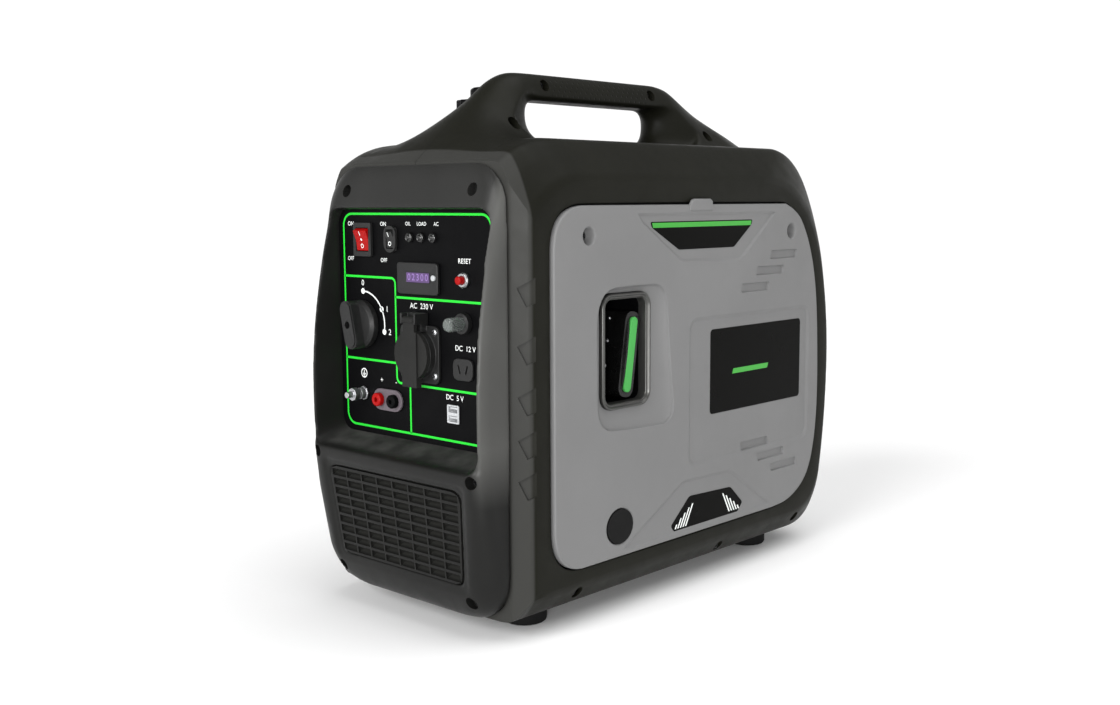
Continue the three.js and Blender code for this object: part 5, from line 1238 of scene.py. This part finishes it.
add_rocker_marks("engine_switch_rocker", -67.5, 341.5, 330.3, dot_z=336)
add_rocker_marks("eco_switch_rocker", -29, 341, 333)
print("marks on two rockers")

# %% [markdown]
# The display is a dim violet window with paler digits, both flat and just in
# front of its housing. A little emission makes them read in the recess.

# %% Display
DISPLAY_Y = float(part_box("display_housing")[0][1]) * 1000
screen_violet = grained("screen_violet", (70, 48, 90), 0.3, grain=0.00001, tone=0.1,
                        Emission_Color=(*linear((96, 66, 130)), 1), Emission_Strength=0.08)
digit_violet = grained("digit_violet", (122, 96, 150), 0.3, grain=0.00001, tone=0.02,
                       Emission_Color=(*linear((168, 140, 210)), 1), Emission_Strength=0.15)
window = round_box(-6.3, 23.9, 300.4, 308.8, 0.8, 3)
screen = printed(window, [range(len(window))], DISPLAY_Y - 0.1)
add_piece("display_window", screen, "housing", "black_plastic", finish=screen_violet)
digits = [flat_text(digit, 8.4, (-2.6 + 5.7 * i, 304.6), DISPLAY_Y - 0.2) for i, digit in enumerate("02300")]
add_piece("display_digits", merged(digits), "housing", "silver_plastic", finish=digit_violet)
print("display at", round(DISPLAY_Y, 1))

# %% [markdown]
# Three black plates sit on the door: a trapezium with a green bar in the V,
# a plain name plate in its soft frame, and a low plate with slanted stripes
# at its ends. They carry no words.

# %% Door plates
def add_plate(name, outline, sunk):
    """A thin flat plate with softened edges, on a part of the door that is sunk by a depth."""
    mesh = prism_mesh(outline, "x", DOOR_X - 3.2, DOOR_X + 0.3 - sunk)
    bevel_edges(add_piece(name, mesh, "service_door", "black_plastic", finish=gloss_black), 0.22)


gloss_black = grained("gloss_black", (10, 10, 9), 0.32, grain=0.00002, tone=0.04, Specular_IOR_Level=0.03)
top_path = [(10, 350.6), (-70, 350.6), (-68, 345.5), (-28, 324.6), (59, 324.6), (88, 345.5), (90, 350.6)]
low_path = [(10, 59.6), (69, 60.6), (78, 69.5), (57, 88.4), (-10, 91), (-38.6, 66.8), (-32, 59.2)]
add_plate("door_plate_top", rounded_path(top_path + top_path[:1], 2.2, 4)[:-1], VEE_DEPTH)
add_plate("door_plate_name", round_box(22, 180, 165, 247, 4, 6), FRAME_DEPTH)
add_plate("door_plate_low", rounded_path(low_path + low_path[:1], 3, 4)[:-1], PLINTH_DEPTH)
print("three door plates")

# %% Bars and stripes
def on_plate(outline, sunk, lift=0.38):
    """A flat four-cornered print just above a plate."""
    return fresh_mesh(placed(outline, "x", DOOR_X + lift - sunk), [[3, 2, 1, 0]])


def stripe(y, z, tall, lean):
    """A bar 2 wide that climbs by tall and moves along Y by lean for each millimetre."""
    top_y, top_z = y + tall * lean, z + tall
    return on_plate([(y, z), (y + 2, z), (top_y + 2, top_z), (top_y, top_z)], PLINTH_DEPTH, 0.39)


label_green = grained("label_green", (44, 150, 38), 0.4, grain=0.00002, tone=0.03)
bars = [on_plate([(-66.6, 345.2), (86.6, 345.2), (87.8, 349.6), (-67.8, 349.6)], VEE_DEPTH)]
bars.append(on_plate([(58, 201), (119, 201), (121, 206), (60, 206)], FRAME_DEPTH))
stripe_heights = (4, 9, 13, 17, 20)
stripes = [stripe(-33 + 4 * i, 63, tall, 0.55) for i, tall in enumerate(stripe_heights)]
stripes += [stripe(70 - 4 * i, 64, tall, -0.55) for i, tall in enumerate(stripe_heights)]
add_piece("door_green_bars", merged(bars), "service_door", "green_rubber", finish=label_green)
add_piece("door_stripes", merged(stripes), "service_door", "silver_plastic", finish=white_ink)
print("bars", len(bars), "stripes", len(stripes))

# %% [markdown]
# Every cover is held by pan-head screws at the bottom of dark wells. One
# screw is a low dome turned round its axis. The cross on its head is painted
# shade: a dark piece that stands out by a tenth of a millimetre, in place of
# the hollow. Cutting it in would cost many more faces, for a mark that is hardly seen.

# %% Screws
def screw_parts(place, outwards, radius, turn):
    """A head and the two arms of its cross.

    The head's points are place + radius * reach * (cos, sin of an angle) + height * outwards.
    """
    place, out = np.array(place, float), np.array(outwards, float)
    side = np.cross(out, (0, 0, 1.0))
    up = np.cross(side, out)
    profile = np.array([(1.0, -2.0), (1.0, 0.35), (0.9, 0.9), (0.68, 1.35), (0.35, 1.6), (0.02, 1.65)])
    reach, height = profile.T[:, :, None, None]
    angle = np.linspace(0, 2 * np.pi, 24, endpoint=False)[:, None]
    head = loft_mesh(place + radius * reach * (np.cos(angle) * side + np.sin(angle) * up) + height * out)
    long, wide = np.array([(-0.58, -0.13), (0.58, -0.13), (0.58, 0.13), (-0.58, 0.13)]).T[:, :, None] * radius
    arms = []
    for a in (turn, turn + np.pi / 2):
        along, across = np.cos(a) * side + np.sin(a) * up, -np.sin(a) * side + np.cos(a) * up
        corners = place + long * along + wide * across
        arms.append(loft_mesh([corners + 0.5 * out, corners + 1.75 * out]))
    return head, arms


def add_screws(name, body, screws, slot):
    """The heads of several screws as one piece, and as another their crosses, dark as painted shade."""
    made = [screw_parts(*screw) for screw in screws]
    heads, crosses = [head for head, arms in made], [arm for head, arms in made for arm in arms]
    add_piece(name + "_screws", merged(heads), body, slot, crisp=50)
    # The crosses are painted shade: dark pieces in place of the hollows.
    add_piece(name + "_screw_slots", merged(crosses), body, "black_plastic")


RIGHT, LEFT, FRONT, REAR = (1, 0, 0), (-1, 0, 0), (0, -1, 0), (0, 1, 0)
GRIP_X, FLANK_X, BELLY_X, DOOR_SCREW_X, REAR_SCREW_Y = 10.4, 25.4, 116.5, 122, 238.5
screws = [("housing", (x, float(cover_face(z)) + 8.5, z), FRONT, 3.6) for x, z in cover_screws]
screws += [("housing", (GRIP_X, y, z), RIGHT, 3.4) for y, z in grip_screws]
screws += [("housing", (FLANK_X, y, z), RIGHT, 3.4) for y, z in flank_screws]
screws += [("housing", (BELLY_X, y, z), RIGHT, 3.6) for y, z in belly_screws]
screws += [("housing", (-BELLY_X, y, z), LEFT, 3.6) for y, z in belly_screws]
screws += [("service_door", (DOOR_SCREW_X, y, z), RIGHT, 4.4) for y, z in door_screws]
screws += [("housing", (side * 68, REAR_SCREW_Y, z), REAR, 3.6) for z in (80, 328) for side in BOTH_SIDES]
for body in ("housing", "service_door"):
    own = [(*screw, 0.4 + 0.9 * i) for i, (carried_by, *screw) in enumerate(screws) if carried_by == body]
    add_screws(body, body, own, "dark_steel")
print("screws", len(screws))

# %% [markdown]
# The ring round the starter's handle is plated. It is one closed profile
# carried round a rounded rectangle: a thin raised lip, a dark groove, a
# second fine lip, then a throat that falls to the pocket. A curve with a
# bevel profile could make it, but outlines moved inwards keep its corners
# round at every depth.

# %% Plated ring
ring_profile = [
    (0.3, 124.0), (0.0, 125.4), (0.25, 126.5), (0.9, 127.2), (1.6, 127.3), (2.2, 126.9), (2.6, 126.0),
    (3.1, 125.3), (3.8, 125.0), (4.4, 125.3), (4.9, 125.6), (5.3, 125.3), (5.5, 124.4), (5.55, 121.0),
    (5.6, 116.8), (3.2, 116.8), (3.1, 123.6), (1.2, 123.7),
]


def ring_outline(inward, half_y=33.4, half_z=51.4, corner=13.0):
    """A rounded rectangle about the handle's middle, moved inwards."""
    y, z = half_y - inward, half_z - inward
    return round_box(RECOIL_Y - y, RECOIL_Y + y, RECOIL_Z - z, RECOIL_Z + z, corner - inward, 8)


ring_mesh = hoop_mesh([placed(ring_outline(inward), "x", x) for inward, x in ring_profile])
ring = add_piece("recoil_ring", ring_mesh, "service_door", "satin_steel", ["recoil_bezel"], 50, dark_chrome)
print("ring", len(ring.data.polygons), "faces")

# %% [markdown]
# Small fixings finish the panel and the grip. The breaker's clear boot shows
# a dark core, which is a turned profile inside it.

# %% Small screws and the breaker's core
SOCKET_X = 29.2
BREAKER_X, BREAKER_Z = 64.3, 268.2
socket_screws = [((SOCKET_X, PANEL_Y - 3.2, z), FRONT, 2.9, turn) for z, turn in ((258.5, 0.3), (220.5, 1.0))]
add_screws("socket", "housing", socket_screws, "bright_metal")
bolt_places = [(98.5, -90.2, 264.4), (98.8, -93.4, 244.1), (98.8, -96.9, 221.7)]
grip_bolts = merged([screw_parts(place, FRONT, 1.9, 0.5 * i)[0] for i, place in enumerate(bolt_places)])
add_piece("grip_bolts", grip_bolts, "recoil_handle", "bright_metal", crisp=50)
core_profile = [(0.05, -236.5), (3.9, -236.5), (4.0, -247.5), (3.4, -249.0), (1.5, -249.4), (0.05, -249.4)]
core_rings = np.array([placed(circle(BREAKER_X, BREAKER_Z, r, 24), "y", y) for r, y in core_profile])
core = outward(fresh_mesh(core_rings.reshape(-1, 3), grid_faces(*core_rings.shape[:2], wrap=True)))
add_piece("breaker_core", core, "breaker_button", "black_plastic", crisp=50)
print("small screws", len(socket_screws) + len(bolt_places))

# %% [markdown]
# A black strip behind the door's edge stands in for the shade of the inside,
# so that no light shows through the gap. It is a small oblong section carried
# round the door's outline at the sides and the top. The bottom is left free for the hinge.

# %% Dark strip behind the door's gap
GAP_SHADE_OUTSIDE, GAP_SHADE_INSIDE, GAP_SHADE_BACK_X, GAP_SHADE_FRONT_X = 2.2, -5.5, 114.8, 117.6
GAP_SHADE_START, GAP_SHADE_END, GAP_SHADE_SECTIONS = -26, 206, 170


def seal_mesh():
    """Oblong sections at even angles about the door's middle, from outside its edge to inside it."""
    margin, x = np.array([(GAP_SHADE_OUTSIDE, GAP_SHADE_BACK_X), (GAP_SHADE_OUTSIDE, GAP_SHADE_FRONT_X),
                          (GAP_SHADE_INSIDE, GAP_SHADE_FRONT_X), (GAP_SHADE_INSIDE, GAP_SHADE_BACK_X)]).T
    angle = np.radians(np.linspace(GAP_SHADE_START, GAP_SHADE_END, GAP_SHADE_SECTIONS))[:, None]
    return loft_mesh(door_ring(angle, margin, x))


gap_shade = add_piece("door_gap_shade", seal_mesh(), "housing", "rubber", crisp=50)
print("gap_shade", len(gap_shade.data.polygons), "faces")
